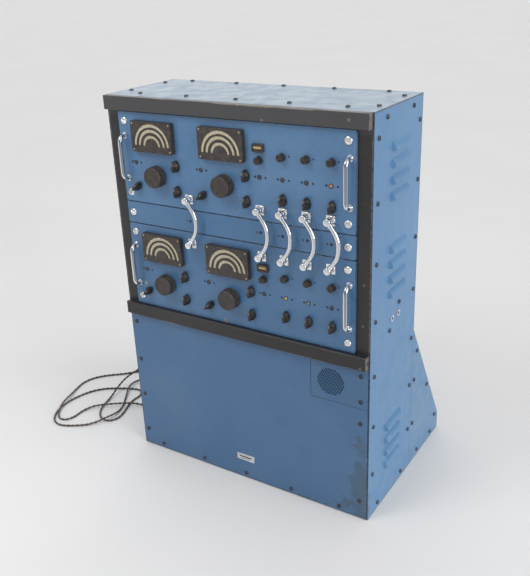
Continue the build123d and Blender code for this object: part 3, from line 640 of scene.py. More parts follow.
def add_lathe(shape, profile, segments=40, ribs=0, rib_depth=0.0, matrix=None):
    """Turn a profile of (radius, height, ribbed) about local Z into a closed solid."""
    matrix = matrix or Matrix()
    rings = []
    for radius, height, *ribbed in profile:
        if radius == 0:
            rings.append([shape.verts.new(matrix @ Vector((0, 0, height)))])
            continue
        ring = []
        for step in range(segments):
            turn = 2 * pi * step / segments
            depth = rib_depth * (0.5 + 0.5 * cos(ribs * turn)) if ribbed and ribbed[0] else 0.0
            spot = Vector(((radius - depth) * cos(turn), (radius - depth) * sin(turn), height))
            ring.append(shape.verts.new(matrix @ spot))
        rings.append(ring)
    for first, second in zip(rings, rings[1:]):
        for step in range(segments):
            following = (step + 1) % segments
            if len(first) == 1 and len(second) > 1:
                shape.faces.new((first[0], second[following], second[step]))
            elif len(second) == 1 and len(first) > 1:
                shape.faces.new((first[step], first[following], second[0]))
            elif len(first) > 1:
                shape.faces.new((first[step], first[following], second[following], second[step]))
    for ring, flip in ((rings[0], True), (rings[-1], False)):
        if len(ring) > 1:
            shape.faces.new(ring[::-1] if flip else ring)


def add_loft(shape, rings):
    """Skin a stack of equal rings and close both ends."""
    rows = [[shape.verts.new(spot) for spot in ring] for ring in rings]
    count = len(rows[0])
    for first, second in zip(rows, rows[1:]):
        for step in range(count):
            following = (step + 1) % count
            shape.faces.new((first[step], first[following], second[following], second[step]))
    shape.faces.new(rows[0][::-1])
    shape.faces.new(rows[-1])


def add_slab(shape, low, high, matrix=None, bevel=0.0):
    """Box between two local corners, with rounded edges when bevel is given."""
    made = bmesh.ops.create_cube(shape, size=1.0)["verts"]
    middle = (Vector(low) + Vector(high)) / 2
    size = Vector(high) - Vector(low)
    for vert in made:
        vert.co = Vector([vert.co[i] * size[i] + middle[i] for i in range(3)])
    if bevel:
        edges = list({edge for vert in made for edge in vert.link_edges})
        done = bmesh.ops.bevel(shape, geom=edges, offset=bevel, segments=2, affect="EDGES", profile=0.5)
        made = list({vert for face in done["faces"] for vert in face.verts} | {v for v in made if v.is_valid})
    for vert in made:
        vert.co = (matrix or Matrix()) @ vert.co


def round_corners(points, radius, steps=10):
    """Path through points whose inner corners are arcs of the given radius."""
    path = [points[0]]
    for before, corner, after in zip(points, points[1:], points[2:]):
        arm_in = (before - corner).normalized()
        arm_out = (after - corner).normalized()
        half = arm_in.angle(arm_out) / 2
        reach = radius / (sin(half) / cos(half))
        centre = corner + (arm_in + arm_out).normalized() * (radius / sin(half))
        start = corner + arm_in * reach - centre
        end = corner + arm_out * reach - centre
        for step in range(steps + 1):
            part = step / steps
            spread = start.angle(end)
            blend = (start * sin((1 - part) * spread) + end * sin(part * spread)) / sin(spread)
            path.append(centre + blend)
    path.append(points[-1])
    return path


def add_tube(shape, path, radius, sides=16):
    """Round rod along a path, closed at both ends."""
    heading = (path[1] - path[0]).normalized()
    across = heading.orthogonal().normalized()
    rings = []
    for index, spot in enumerate(path):
        ahead = path[min(index + 1, len(path) - 1)] - path[max(index - 1, 0)]
        new_heading = ahead.normalized()
        across = heading.rotation_difference(new_heading) @ across
        heading = new_heading
        up = heading.cross(across)
        rings.append(
            [
                spot + radius * (cos(2 * pi * step / sides) * across + sin(2 * pi * step / sides) * up)
                for step in range(sides)
            ]
        )
    add_loft(shape, rings)


def finish_piece(name, shape, materials, body, replaces=(), sharp=35.0):
    """Turn a bmesh into a smooth-shaded piece that rides on a body."""
    bmesh.ops.recalc_face_normals(shape, faces=shape.faces)
    mesh = bpy.data.meshes.new(name)
    shape.to_mesh(mesh)
    shape.free()
    return finish_mesh(name, mesh, materials, body, replaces, sharp)


def finish_mesh(name, mesh, materials, body, replaces=(), sharp=35.0):
    """Make a piece of a ready mesh, give it its materials and put it on its body."""
    mesh.shade_smooth()
    mesh.set_sharp_from_angle(angle=radians(sharp))
    if materials:
        mesh.materials.clear()
        for material in materials:
            mesh.materials.append(material)
    piece = bpy.data.objects.new(name, mesh)
    bpy.context.scene.collection.objects.link(piece)
    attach(piece, body)
    if replaces:
        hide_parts(*replaces)
    return piece


def evaluated_mesh(subject, name):
    """Plain mesh of an object with its modifiers applied."""
    depsgraph = bpy.context.evaluated_depsgraph_get()
    mesh = bpy.data.meshes.new_from_object(subject.evaluated_get(depsgraph), depsgraph=depsgraph)
    mesh.name = name
    return mesh


def join_meshes(name, parts):
    """One mesh of several (mesh, matrix) pairs, keeping their material slots by order."""
    whole = bmesh.new()
    materials = []
    for mesh, matrix in parts:
        before = len(whole.faces)
        count = len(whole.verts)
        whole.from_mesh(mesh)
        whole.verts.ensure_lookup_table()
        whole.faces.ensure_lookup_table()
        for vert in whole.verts[count:]:
            vert.co = matrix @ vert.co
        slots = []
        for material in mesh.materials:
            if material not in materials:
                materials.append(material)
            slots.append(materials.index(material))
        for face in whole.faces[before:]:
            face.material_index = slots[face.material_index] if slots else 0
    joined = bpy.data.meshes.new(name)
    whole.to_mesh(joined)
    whole.free()
    for material in materials:
        joined.materials.append(material)
    return joined


def scratch_object(name, mesh):
    """Object that lives only while a tree uses it."""
    item = bpy.data.objects.new(name, mesh)
    bpy.context.scene.collection.objects.link(item)
    return item


# ================================================================ geometry trees
def new_tree(name, inputs):
    """Geometry node tree with named inputs and one geometry output."""
    tree = bpy.data.node_groups.new(name, "GeometryNodeTree")
    tree.interface.new_socket("Geometry", in_out="INPUT", socket_type="NodeSocketGeometry")
    for label, kind, default in inputs:
        socket = tree.interface.new_socket(label, in_out="INPUT", socket_type=kind)
        if default is not None:
            socket.default_value = default
    tree.interface.new_socket("Geometry", in_out="OUTPUT", socket_type="NodeSocketGeometry")
    return tree, tree.nodes.new("NodeGroupInput").outputs, tree.nodes.new("NodeGroupOutput").inputs


def end_tree(tree, instances, material, result):
    """Realize the instances and give them their material."""
    real = place(tree, "GeometryNodeRealizeInstances", {"Geometry": instances})
    made = place(tree, "GeometryNodeSetMaterial", {"Geometry": real.outputs[0], "Material": material})
    tree.links.new(made.outputs[0], result["Geometry"])


def run_tree(tree, points, values, name):
    """Apply a tree to a mesh of points and return the plain mesh that it makes."""
    base = bpy.data.meshes.new(name)
    base.from_pydata(points, [], [])
    holder = scratch_object(name, base)
    modifier = holder.modifiers.new("repeat", "NODES")
    modifier.node_group = tree
    for item in tree.interface.items_tree:
        if item.item_type == "SOCKET" and item.in_out == "INPUT" and item.name in values:
            modifier[item.identifier] = values[item.name]
    mesh = evaluated_mesh(holder, name)
    bpy.data.objects.remove(holder)
    return mesh


def make_screw_tree():
    """Screws on points, each slot turned by its own chance angle."""
    tree, given, result = new_tree(
        "screws_on_points",
        [
            ("Screw", "NodeSocketObject", None),
            ("Spin", "NodeSocketFloat", pi),
            ("Seed", "NodeSocketInt", 1),
            ("Finish", "NodeSocketMaterial", None),
        ],
    )
    screw = place(tree, "GeometryNodeObjectInfo", {"Object": given["Screw"]}).outputs["Geometry"]
    chance = place(
        tree, "FunctionNodeRandomValue", {"Seed": given["Seed"]}, data_type="FLOAT"
    )
    tree.links.new(given["Spin"], chance.inputs[3])
    turn = place(tree, "ShaderNodeCombineXYZ", {"Z": chance.outputs[1]}).outputs[0]
    placed = place(
        tree,
        "GeometryNodeInstanceOnPoints",
        {"Points": given["Geometry"], "Instance": screw, "Rotation": turn},
    )
    end_tree(tree, placed.outputs[0], given["Finish"], result)
    return tree


def make_tick_tree():
    """Ticks fanned over a half circle about the origin, upright in the XY plane."""
    tree, given, result = new_tree(
        "ticks_on_arc",
        [
            ("Radius", "NodeSocketFloat", 0.03),
            ("Count", "NodeSocketInt", 31),
            ("Length", "NodeSocketFloat", 0.0016),
            ("Width", "NodeSocketFloat", 0.0003),
            ("Finish", "NodeSocketMaterial", None),
        ],
    )
    line = place(tree, "GeometryNodeMeshLine", {"Count": given["Count"]}, mode="OFFSET")
    index = place(tree, "GeometryNodeInputIndex").outputs[0]
    last = calculate(tree, "SUBTRACT", given["Count"], 1.0)
    share = calculate(tree, "DIVIDE", index, last)
    angle = calculate(tree, "ADD", calculate(tree, "MULTIPLY", share, pi * 0.94), pi * 0.03)
    across = calculate(tree, "MULTIPLY", calculate(tree, "COSINE", angle), given["Radius"])
    up = calculate(tree, "MULTIPLY", calculate(tree, "SINE", angle), given["Radius"])
    spot = place(tree, "ShaderNodeCombineXYZ", {"X": across, "Y": up}).outputs[0]
    moved = place(tree, "GeometryNodeSetPosition", {"Geometry": line.outputs[0], "Position": spot})
    size = place(tree, "ShaderNodeCombineXYZ", {"X": given["Length"], "Y": given["Width"], "Z": 0.00004})
    tick = place(tree, "GeometryNodeMeshCube", {"Size": size.outputs[0]}).outputs[0]
    turn = place(tree, "ShaderNodeCombineXYZ", {"Z": angle}).outputs[0]
    placed = place(
        tree,
        "GeometryNodeInstanceOnPoints",
        {"Points": moved.outputs[0], "Instance": tick, "Rotation": turn},
    )
    end_tree(tree, placed.outputs[0], given["Finish"], result)
    return tree


SCREW_TREE = make_screw_tree()
TICK_TREE = make_tick_tree()


def slotted_head(name, radius, rise, slot_width, slot_depth):
    """Domed screw head with a cut slot."""
    dome = bmesh.new()
    profile = [(radius, 0.0), (radius, rise * 0.25)]
    for step in range(1, 7):
        share = step / 7 * pi / 2
        profile.append((radius * cos(share), rise * (0.25 + 0.75 * sin(share))))
    profile.append((0, rise))
    add_lathe(dome, profile, 28)
    bmesh.ops.recalc_face_normals(dome, faces=dome.faces)
    mesh = bpy.data.meshes.new(name)
    dome.to_mesh(mesh)
    dome.free()
    head = scratch_object(name, mesh)
    cutter = bmesh.new()
    low = (-2 * radius, -slot_width / 2, rise - slot_depth)
    high = (2 * radius, slot_width / 2, 2 * rise)
    add_slab(cutter, low, high)
    bmesh.ops.recalc_face_normals(cutter, faces=cutter.faces)
    cutter_mesh = bpy.data.meshes.new(f"{name}_cutter")
    cutter.to_mesh(cutter_mesh)
    cutter.free()
    tool = scratch_object(f"{name}_cutter", cutter_mesh)
    cut = head.modifiers.new("slot", "BOOLEAN")
    cut.object = tool
    cut.operation = "DIFFERENCE"
    cut.solver = "EXACT"
    slotted = evaluated_mesh(head, f"{name}_slotted")
    bpy.data.objects.remove(tool)
    bpy.data.objects.remove(head)
    return scratch_object(f"{name}_template", slotted)


# ================================================================ camera
CAMERA_PLACE = Vector((0.74475, -1.22268, 0.96388))
CAMERA_YAW = radians(-32.95)
CAMERA_PITCH = radians(22.95)
CAMERA_ROLL = radians(-2.35)
CAMERA_LENS = 47.84


def set_camera():
    """Camera to the right of the cabinet and above it, with a slight roll."""
    forward = Vector(
        (sin(CAMERA_YAW) * cos(CAMERA_PITCH), cos(CAMERA_YAW) * cos(CAMERA_PITCH), -sin(CAMERA_PITCH))
    )
    level = forward.cross(Vector((0, 0, 1))).normalized()
    upright = level.cross(forward)
    right = cos(CAMERA_ROLL) * level + sin(CAMERA_ROLL) * upright
    up = cos(CAMERA_ROLL) * upright - sin(CAMERA_ROLL) * level
    lens = bpy.data.cameras.new("camera")
    lens.lens = CAMERA_LENS
    lens.sensor_width = 36.0
    lens.clip_end = 200.0
    camera = bpy.data.objects.new("camera", lens)
    turn = Matrix((right, up, -forward)).transposed().to_4x4()
    camera.matrix_world = Matrix.Translation(CAMERA_PLACE) @ turn
    bpy.context.scene.collection.objects.link(camera)
    bpy.context.scene.camera = camera


set_camera()

# ================================================================ mains lead
# Route points of the lead, x and height, with its depth behind the cabinet's front, in mm.
LEAD_ROUTE = (
    (-300, 290, 76),
    (-335, 288, 74),
    (-372, 277, 66),
    (-408, 255, 54),
    (-440, 224, 42),
    (-461, 190, 32),
    (-468, 156, 24),
    (-466, 124, 14),
    (-461, 95, 4),
    (-456, 66, 2.5),
    (-443, 38, 2.5),
    (-421, 17, 2.5),
    (-394, 16, 2.5),
    (-383, 40, 2.5),
    (-391, 66, 2.5),
    (-401, 92, 2.5),
    (-408, 117, 2.5),
    (-404, 142, 2.5),
    (-421, 163, 2.5),
    (-447, 156, 2.5),
    (-474, 143, 2.5),
    (-503, 127, 2.5),
    (-526, 101, 2.5),
    (-538, 68, 2.5),
    (-543, 34, 2.5),
    (-540, 4, 2.5),
    (-528, -24, 2.5),
    (-508, -46, 2.5),
    (-481, -51, 2.5),
    (-456, -38, 2.5),
    (-432, -22, 2.5),
    (-413, -5, 6),
    (-404, 17, 9),
    (-400, 42, 6),
    (-404, 66, 2.5),
    (-414, 90, 2.5),
    (-429, 113, 2.5),
    (-443, 136, 6),
    (-454, 158, 9),
    (-458, 184, 6),
    (-452, 209, 2.5),
    (-451, 233, 2.5),
    (-472, 244, 2.5),
    (-495, 226, 2.5),
    (-517, 201, 2.5),
    (-545, 180, 2.5),
    (-569, 152, 2.5),
    (-577, 121, 2.5),
    (-570, 91, 2.5),
    (-559, 61, 5),
    (-548, 33, 9),
    (-538, 7, 9),
    (-525, -15, 4),
    (-508, -31, 2.5),
    (-488, -29, 2.5),
    (-479, -8, 2.5),
    (-482, 18, 2.5),
    (-470, 45, 6),
    (-443, 62, 9),
    (-417, 80, 10),
    (-390, 98, 9),
    (-362, 110, 4),
    (-334, 124, 5),
    (-312, 148, 10),
)
STRAND_RADIUS = 1.42 * MM
TWIST_PITCH = 21.0 * MM
STRAND_SIDES = 8
RING_STEP = 2.4 * MM


def lead_centre_line():
    """Points of the smooth curve through the lead's route."""
    curve = bpy.data.curves.new("lead_route", "CURVE")
    curve.dimensions = "3D"
    curve.resolution_u = 12
    spline = curve.splines.new("NURBS")
    spline.points.add(len(LEAD_ROUTE) - 1)
    for point, (x, depth, height) in zip(spline.points, LEAD_ROUTE):
        point.co = (x * MM, FRONT_Y + depth * MM, height * MM, 1.0)
    spline.order_u = 3
    spline.use_endpoint_u = True
    holder = scratch_object("lead_route", curve)
    mesh = evaluated_mesh(holder, "lead_line")
    bpy.data.objects.remove(holder)
    return [vert.co.copy() for vert in mesh.vertices]


def even_steps(path, step):
    """Points at equal distances along a path."""
    lengths = [0.0]
    for first, second in zip(path, path[1:]):
        lengths.append(lengths[-1] + (second - first).length)
    count = max(2, round(lengths[-1] / step))
    result = []
    segment = 0
    for index in range(count + 1):
        goal = lengths[-1] * index / count
        while segment < len(path) - 2 and lengths[segment + 1] < goal:
            segment += 1
        span = max(lengths[segment + 1] - lengths[segment], 1e-9)
        result.append(path[segment].lerp(path[segment + 1], (goal - lengths[segment]) / span))
    return result, lengths[-1]


def build_lead():
    """Two braid-covered wires twisted together along the lead's line."""
    centre, length = even_steps(lead_centre_line(), RING_STEP)
    shape = bmesh.new()
    uv_layer = shape.loops.layers.uv.new("lead")
    heading = (centre[1] - centre[0]).normalized()
    across = heading.orthogonal().normalized()
    rails = [[], []]
    for index, spot in enumerate(centre):
        ahead = centre[min(index + 1, len(centre) - 1)] - centre[max(index - 1, 0)]
        new_heading = ahead.normalized()
        across = heading.rotation_difference(new_heading) @ across
        heading = new_heading
        up = heading.cross(across)
        turn = 2 * pi * index * RING_STEP / TWIST_PITCH
        offset = 0.88 * STRAND_RADIUS
        for strand, rail in enumerate(rails):
            phase = turn + pi * strand
            rail.append((spot + offset * (cos(phase) * across + sin(phase) * up), across, up))
    for rail in rails:
        rows = []
        for spot, side, up in rail:
            ring = []
            for step in range(STRAND_SIDES):
                angle = 2 * pi * step / STRAND_SIDES
                around = cos(angle) * side + sin(angle) * up
                ring.append(shape.verts.new(spot + STRAND_RADIUS * around))
            rows.append(ring)
        for row in range(len(rows) - 1):
            for step in range(STRAND_SIDES):
                following = (step + 1) % STRAND_SIDES
                corners = (
                    rows[row][step],
                    rows[row][following],
                    rows[row + 1][following],
                    rows[row + 1][step],
                )
                face = shape.faces.new(corners)
                places = ((step, row), (step + 1, row), (step + 1, row + 1), (step, row + 1))
                for loop, (girth, ring_index) in zip(face.loops, places):
                    loop[uv_layer].uv = (girth / STRAND_SIDES, ring_index * RING_STEP / (4 * MM))
        shape.faces.new(rows[0][::-1])
        shape.faces.new(rows[-1])
    lead = finish_piece("mains_lead", shape, [braided_cotton()], "root", ["mains_cord"], 60)
    return lead, centre, length


def build_plug(centre):
    """Round-shouldered plug with a ribbed neck and two flat blades."""
    heading = centre[-1] - centre[-12]
    heading = Vector((heading.x, heading.y, 0)).normalized()
    side = Vector((heading.y, -heading.x, 0))
    axes = Matrix((side, side.cross(heading) * -1, heading)).transposed().to_4x4()
    frame_here = Matrix.Translation(centre[-1]) @ axes
    shape = bmesh.new()
    neck = [(3.2 * MM, 0.0)]
    for rib in range(4):
        start = (1.0 + 2.3 * rib) * MM
        swell = (4.2 + 0.5 * rib) * MM
        neck += [(swell, start), (swell, start + 1.3 * MM), (swell - 0.9 * MM, start + 1.6 * MM)]
    neck.append((6.0 * MM, 10.5 * MM))
    add_lathe(shape, neck, 24, matrix=frame_here)
    rings = []
    outline = ((10.0, 0.72), (12.0, 0.90), (15.0, 1.0), (29.0, 1.0), (32.5, 0.95), (34.0, 0.86))
    for along, scale in outline:
        ring = []
        for step in range(32):
            turn = 2 * pi * step / 32
            wide = 11.6 * MM * scale * abs(cos(turn)) ** 0.5 * (1 if cos(turn) > 0 else -1)
            thick = 9.3 * MM * scale * abs(sin(turn)) ** 0.6 * (1 if sin(turn) > 0 else -1)
            ring.append(frame_here @ Vector((wide, thick, along * MM)))
        rings.append(ring)
    add_loft(shape, rings)
    for row in range(4):
        for face_side in (-1, 1):
            low = (-6.5 * MM, face_side * 9.0 * MM, (17 + 3 * row) * MM)
            high = (6.5 * MM, face_side * 9.7 * MM, (18.4 + 3 * row) * MM)
            low, high = [min(a, b) for a, b in zip(low, high)], [max(a, b) for a, b in zip(low, high)]
            add_slab(shape, low, high, frame_here, 0.25 * MM)
    plug = finish_piece("plug_body", shape, [RUBBER], "root", ["mains_plug"])
    blades = bmesh.new()
    for x in (-6.35 * MM, 6.35 * MM):
        low = (x - 0.75 * MM, -3.2 * MM, 33 * MM)
        high = (x + 0.75 * MM, 3.2 * MM, 50 * MM)
        add_slab(blades, low, high, frame_here, 0.3 * MM)
    finish_piece("plug_blades", blades, [BRASS], "root")
    return plug


def build_gland():
    """Hexagon gland with a ribbed tapered sleeve on the foot's left side."""
    low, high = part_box("mains_gland")
    middle = (low + high) / 2
    frame_here = Matrix(
        ((0, 0, -1, -HALF_WIDTH), (-1, 0, 0, middle.y), (0, 1, 0, middle.z), (0, 0, 0, 1))
    )
    shape = bmesh.new()
    add_lathe(shape, [(9.6 * MM, 0.0), (9.6 * MM, 1.2 * MM), (9.0 * MM, 1.6 * MM)], 36, matrix=frame_here)
    add_lathe(
        shape,
        [(8.2 * MM, 1.5 * MM), (8.6 * MM, 2.0 * MM), (8.6 * MM, 5.6 * MM), (7.6 * MM, 6.4 * MM)],
        6,
        matrix=frame_here,
    )
    sleeve = [(6.3 * MM, 6.0 * MM)]
    for rib in range(8):
        start = (7.0 + 3.0 * rib) * MM
        girth = (6.1 - 0.28 * rib) * MM
        sleeve += [(girth, start), (girth, start + 1.7 * MM), (girth - 0.7 * MM, start + 2.1 * MM)]
    sleeve.append((3.4 * MM, 31.8 * MM))
    add_lathe(shape, sleeve, 24, matrix=frame_here)
    return finish_piece("gland_sleeve", shape, [RUBBER], "root", ["mains_gland"])


lead_piece, lead_line, lead_length = build_lead()
plug_piece = build_plug(lead_line)
gland_piece = build_gland()
tuple(lead_line[0])
[tuple(spot) for spot in lead_line]


# ================================================================ knobs
def build_tuning_knob(unit, hand):
    """Finely fluted tuning knob with a rolled rim and a dished face."""
    node = f"{unit}_{hand}_tuning_knob"
    low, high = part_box(node)
    shape = bmesh.new()
    frame_here = facing_front((low.x + high.x) / 2, (low.z + high.z) / 2, KNOB_BACK)
    profile = [
        (0, 0.0),
        (16.5, 0.0),
        (19.2, 0.3),
        (19.8, 1.0),
        (19.8, 2.6),
        (19.5, 3.2, True),
        (19.1, 15.0, True),
        (19.0, 15.8),
        (18.8, 16.8),
        (18.2, 17.6),
        (17.2, 18.0),
        (16.4, 17.9),
        (15.8, 17.4),
        (14.6, 17.0),
        (9.0, 16.6),
        (3.0, 16.4),
        (0, 16.4),
    ]
    scaled = [(radius * MM, height * MM, *rest) for radius, height, *rest in profile]
    add_lathe(shape, scaled, 192, ribs=48, rib_depth=0.45 * MM, matrix=frame_here)
    add_lathe(shape, [(3.0 * MM, -13.0 * MM), (3.0 * MM, 0.2 * MM)], 20, matrix=frame_here)
    grip_name = f"{unit}_{hand}_tuning_grip"
    finish_piece(grip_name, shape, [TUNING_PHENOLIC], node, [node])


def grip_ring(height, half_length, half_width, turn):
    """One level of a selector knob: an oval that is narrower at its upper end."""
    ring = []
    for step in range(40):
        angle = 2 * pi * step / 40
        taper = 1.0 - 0.20 * max(sin(angle), 0.0)
        x = half_width * taper * cos(angle)
        y = half_length * sin(angle)
        ring.append(Vector((x * cos(turn) - y * sin(turn), x * sin(turn) + y * cos(turn), height)))
    return ring


def build_selector(unit, number, x, z):
    """Oval pointer knob that narrows to a ridge with a light index line."""
    node = f"{unit}_selector_knob_{number + 1}"
    turn = radians(-45.0 if number in SLANTED_SELECTORS else 0.0)
    frame_here = facing_front(x * MM, UNIT_BOTTOM[unit] + z * MM, KNOB_BACK)
    shape = bmesh.new()
    add_lathe(shape, [(3.0 * MM, -13.0 * MM), (3.0 * MM, 0.2 * MM)], 16, matrix=frame_here)
    levels = (
        (0.0, 10.6, 6.8),
        (0.6, 11.0, 7.2),
        (2.6, 11.0, 7.1),
        (3.8, 10.8, 6.6),
        (6.5, 10.4, 5.0),
        (9.5, 10.0, 3.7),
        (12.0, 9.6, 2.8),
        (13.2, 9.0, 2.2),
        (13.8, 8.0, 1.4),
        (14.0, 6.8, 0.7),
    )
    rings = [grip_ring(height * MM, run * MM, across * MM, turn) for height, run, across in levels]
    add_loft(shape, [[frame_here @ spot for spot in ring] for ring in rings])
    grip_name = f"{unit}_selector_grip_{number + 1}"
    finish_piece(grip_name, shape, [PHENOLIC], node, [node], 50)
    line = bmesh.new()
    turned = frame_here @ Matrix.Rotation(turn, 4, "Z")
    add_slab(line, (-0.35 * MM, 2.5 * MM, 13.2 * MM), (0.35 * MM, 7.2 * MM, 14.06 * MM), turned, 0.1 * MM)
    finish_piece(f"{unit}_selector_line_{number + 1}", line, [INDEX_PAINT], node)


def build_trimmer(unit, number):
    """Small push-on knob with flat flutes and a domed face."""
    node = f"{unit}_trimmer_knob_{number + 1}"
    low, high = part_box(node)
    frame_here = facing_front((low.x + high.x) / 2, (low.z + high.z) / 2, KNOB_BACK)
    shape = bmesh.new()
    profile = [
        (0, 0.0),
        (6.5, 0.0),
        (7.0, 0.4),
        (7.0, 1.2),
        (6.8, 1.6, True),
        (6.5, 8.4, True),
        (6.2, 9.3),
        (5.2, 9.9),
        (3.2, 10.0),
        (0, 10.0),
    ]
    scaled = [(radius * MM, height * MM, *rest) for radius, height, *rest in profile]
    add_lathe(shape, scaled, 72, ribs=18, rib_depth=0.35 * MM, matrix=frame_here)
    add_lathe(shape, [(2.0 * MM, -13.0 * MM), (2.0 * MM, 0.2 * MM)], 14, matrix=frame_here)
    grip_name = f"{unit}_trimmer_grip_{number + 1}"
    finish_piece(grip_name, shape, [PHENOLIC], node, [node])


for unit in UNIT_BOTTOM:
    for hand in ("left", "right"):
        build_tuning_knob(unit, hand)
    for number, (x, z) in enumerate(SELECTOR_PLACES):
        build_selector(unit, number, x, z)
    for number in range(4):
        build_trimmer(unit, number)


# ================================================================ dials
NUMERALS = (
    (38.3, 2.4, ("0", "10", "20", "30", "40", "50", "60", "70", "80", "90", "100")),
    (28.7, 2.2, ("3", "4", "5", "6", "7", "8", "9")),
    (18.2, 2.0, ("7", "8", "9", "10", "11")),
)


def build_numerals():
    """Numerals of one dial, reading outwards along its three scales."""
    parts = []
    for radius, size, words in NUMERALS:
        for index, word in enumerate(words):
            text = bpy.data.curves.new("numeral", "FONT")
            text.body = word
            text.size = size * MM
            text.align_x = "CENTER"
            text.align_y = "CENTER"
            text.resolution_u = 2
            holder = scratch_object("numeral", text)
            mesh = evaluated_mesh(holder, "numeral")
            bpy.data.objects.remove(holder)
            turn = pi - pi * (0.06 + 0.88 * index / (len(words) - 1))
            spot = Matrix.Rotation(turn - pi / 2, 4, "Z") @ Matrix.Translation((0, radius * MM, 0))
            mesh.materials.clear()
            mesh.materials.append(INK)
            parts.append((mesh, spot))
    return join_meshes("dial_numerals", parts)


def build_scales():
    """Cream half rings behind the bezel's slots."""
    shape = bmesh.new()
    steps = 48
    for outer, inner in SCALE_BANDS:
        rims = []
        for radius in (outer * MM, inner * MM):
            rims.append(
                [
                    shape.verts.new((radius * cos(pi * step / steps), radius * sin(pi * step / steps), 0))
                    for step in range(steps + 1)
                ]
            )
        for step in range(steps):
            shape.faces.new((rims[0][step], rims[0][step + 1], rims[1][step + 1], rims[1][step]))
    solid = bmesh.ops.extrude_face_region(shape, geom=shape.faces[:])["geom"]
    for item in solid:
        if isinstance(item, bmesh.types.BMVert):
            item.co.z += 0.12 * MM
    bmesh.ops.recalc_face_normals(shape, faces=shape.faces)
    mesh = bpy.data.meshes.new("scale_bands")
    shape.to_mesh(mesh)
    shape.free()
    mesh.materials.append(CREAM)
    return mesh


numerals = build_numerals()
scales = build_scales()
tick_rows = []
for (outer, inner), count in zip(SCALE_BANDS, (33, 25, 17)):
    settings = {
        "Radius": (inner + 1.9) * MM,
        "Count": count,
        "Length": 2.6 * MM,
        "Width": 0.55 * MM,
        "Finish": INK,
    }
    tick_rows.append(run_tree(TICK_TREE, [(0, 0, 0)], settings, "scale_ticks"))
BEZEL_SCREW = slotted_head("bezel_screw", 1.9 * MM, 0.9 * MM, 0.5 * MM, 0.5 * MM)
for unit, bottom in UNIT_BOTTOM.items():
    for hand, column in zip(("left", "right"), DIAL_COLUMNS):
        pivot = facing_front(column, bottom + DIAL_HEIGHT - PIVOT_DROP, SCALE_FACE)
        lifted = pivot @ Matrix.Translation((0, 0, 0.13 * MM))
        parts = [(scales, pivot), (numerals, lifted)] + [(row, lifted) for row in tick_rows]
        finish_mesh(f"{unit}_{hand}_scale", join_meshes("scale", parts), [], "root")
        corners = [
            (side * 41.4 * MM, level * 23.7 * MM, 0) for side in (-1, 1) for level in (-1, 1)
        ]
        settings = {"Screw": BEZEL_SCREW, "Spin": pi, "Seed": 5, "Finish": BRASS}
        heads = run_tree(SCREW_TREE, corners, settings, "bezel_screws")
        face = facing_front(column, bottom + DIAL_HEIGHT, DIAL_FACE)
        screws = join_meshes("bezel_screws", [(heads, face)])
        finish_mesh(f"{unit}_{hand}_bezel_screws", screws, [], "root")


def build_indicator(unit, bottom):
    """Counter drums behind the small window."""
    shape = bmesh.new()
    middle = facing_front(62.5 * MM, bottom + 127.0 * MM, 4.6 * MM)
    sideways = middle @ Matrix.Rotation(pi / 2, 4, "Y")
    for index, start in enumerate((-7.6, -2.5, 2.6)):
        before = len(shape.faces)
        drum = [
            (0, start * MM),
            (3.4 * MM, start * MM),
            (3.7 * MM, (start + 0.3) * MM),
            (3.7 * MM, (start + 4.6) * MM),
            (3.4 * MM, (start + 4.9) * MM),
            (0, (start + 4.9) * MM),
        ]
        add_lathe(shape, drum, 32, matrix=sideways)
        shape.faces.ensure_lookup_table()
        for face in shape.faces[before:]:
            face.material_index = (0, 1, 0)[index] if unit == "upper" else (2, 0, 1)[index]
    finish_piece(f"{unit}_counter_drums", shape, [AMBER, CREAM, BEZEL], "root")


def build_marks(unit, bottom):
    """Pilot jewels, and pin holes shown as near-black lenses of painted shade, with engraved dots beside
    them.
    """
    kinds = {
        "upper": ("dark", "dark", "dark", "dark", "dark", "rose"),
        "lower": ("dark", "dark", "dark", "amber", "green", "dark"),
    }[unit]
    for kind in sorted(set(kinds)):
        shape = bmesh.new()
        for column, mine in zip(MARK_COLUMNS, kinds):
            if mine != kind:
                continue
            spot = facing_front(column * MM, bottom + MARK_HEIGHT, PANEL_FACE)
            lens = [(0, 0.0), (3.0, 0.0), (3.0, 0.6), (2.5, 1.4), (1.5, 1.9), (0, 2.1)]
            add_lathe(shape, [(r * MM, h * MM) for r, h in lens], 24, matrix=spot)
        finish_piece(f"{unit}_{kind}_jewels", shape, [JEWELS[kind]], "root")
    rims = bmesh.new()
    dots = bmesh.new()
    for column in MARK_COLUMNS:
        spot = facing_front(column * MM, bottom + MARK_HEIGHT, PANEL_FACE)
        rim = [(2.8, 0.0), (4.2, 0.0), (4.2, 0.7), (3.6, 1.0), (2.8, 0.7)]
        add_ring(rims, [(r * MM, h * MM) for r, h in rim], 24, spot)
        for offset, radius in ((-8.7, 2.2), (12.0, 2.1)):
            beside = spot @ Matrix.Translation((offset * MM, 0, 0))
            add_lathe(dots, [(radius * MM, 0.0), (radius * MM, 0.08 * MM)], 16, matrix=beside)
    for column in (107.0, 152.0, 197.0):
        beside = facing_front((column + 13.5) * MM, bottom + 117.0 * MM, PANEL_FACE)
        add_lathe(dots, [(1.7 * MM, 0.0), (1.7 * MM, 0.08 * MM)], 16, matrix=beside)
    finish_piece(f"{unit}_jewel_rims", rims, [BEZEL], "root")
    finish_piece(f"{unit}_engraved_dots", dots, [ENGRAVING], "root")


def add_ring(shape, profile, segments, matrix):
    """Turn a closed profile about local Z into a ring."""
    rows = []
    for step in range(segments):
        turn = 2 * pi * step / segments
        rows.append(
            [shape.verts.new(matrix @ Vector((r * cos(turn), r * sin(turn), h))) for r, h in profile]
        )
    count = len(profile)
    for step in range(segments):
        row, following = rows[step], rows[(step + 1) % segments]
        for index in range(count):
            after = (index + 1) % count
            shape.faces.new((row[index], following[index], following[after], row[after]))


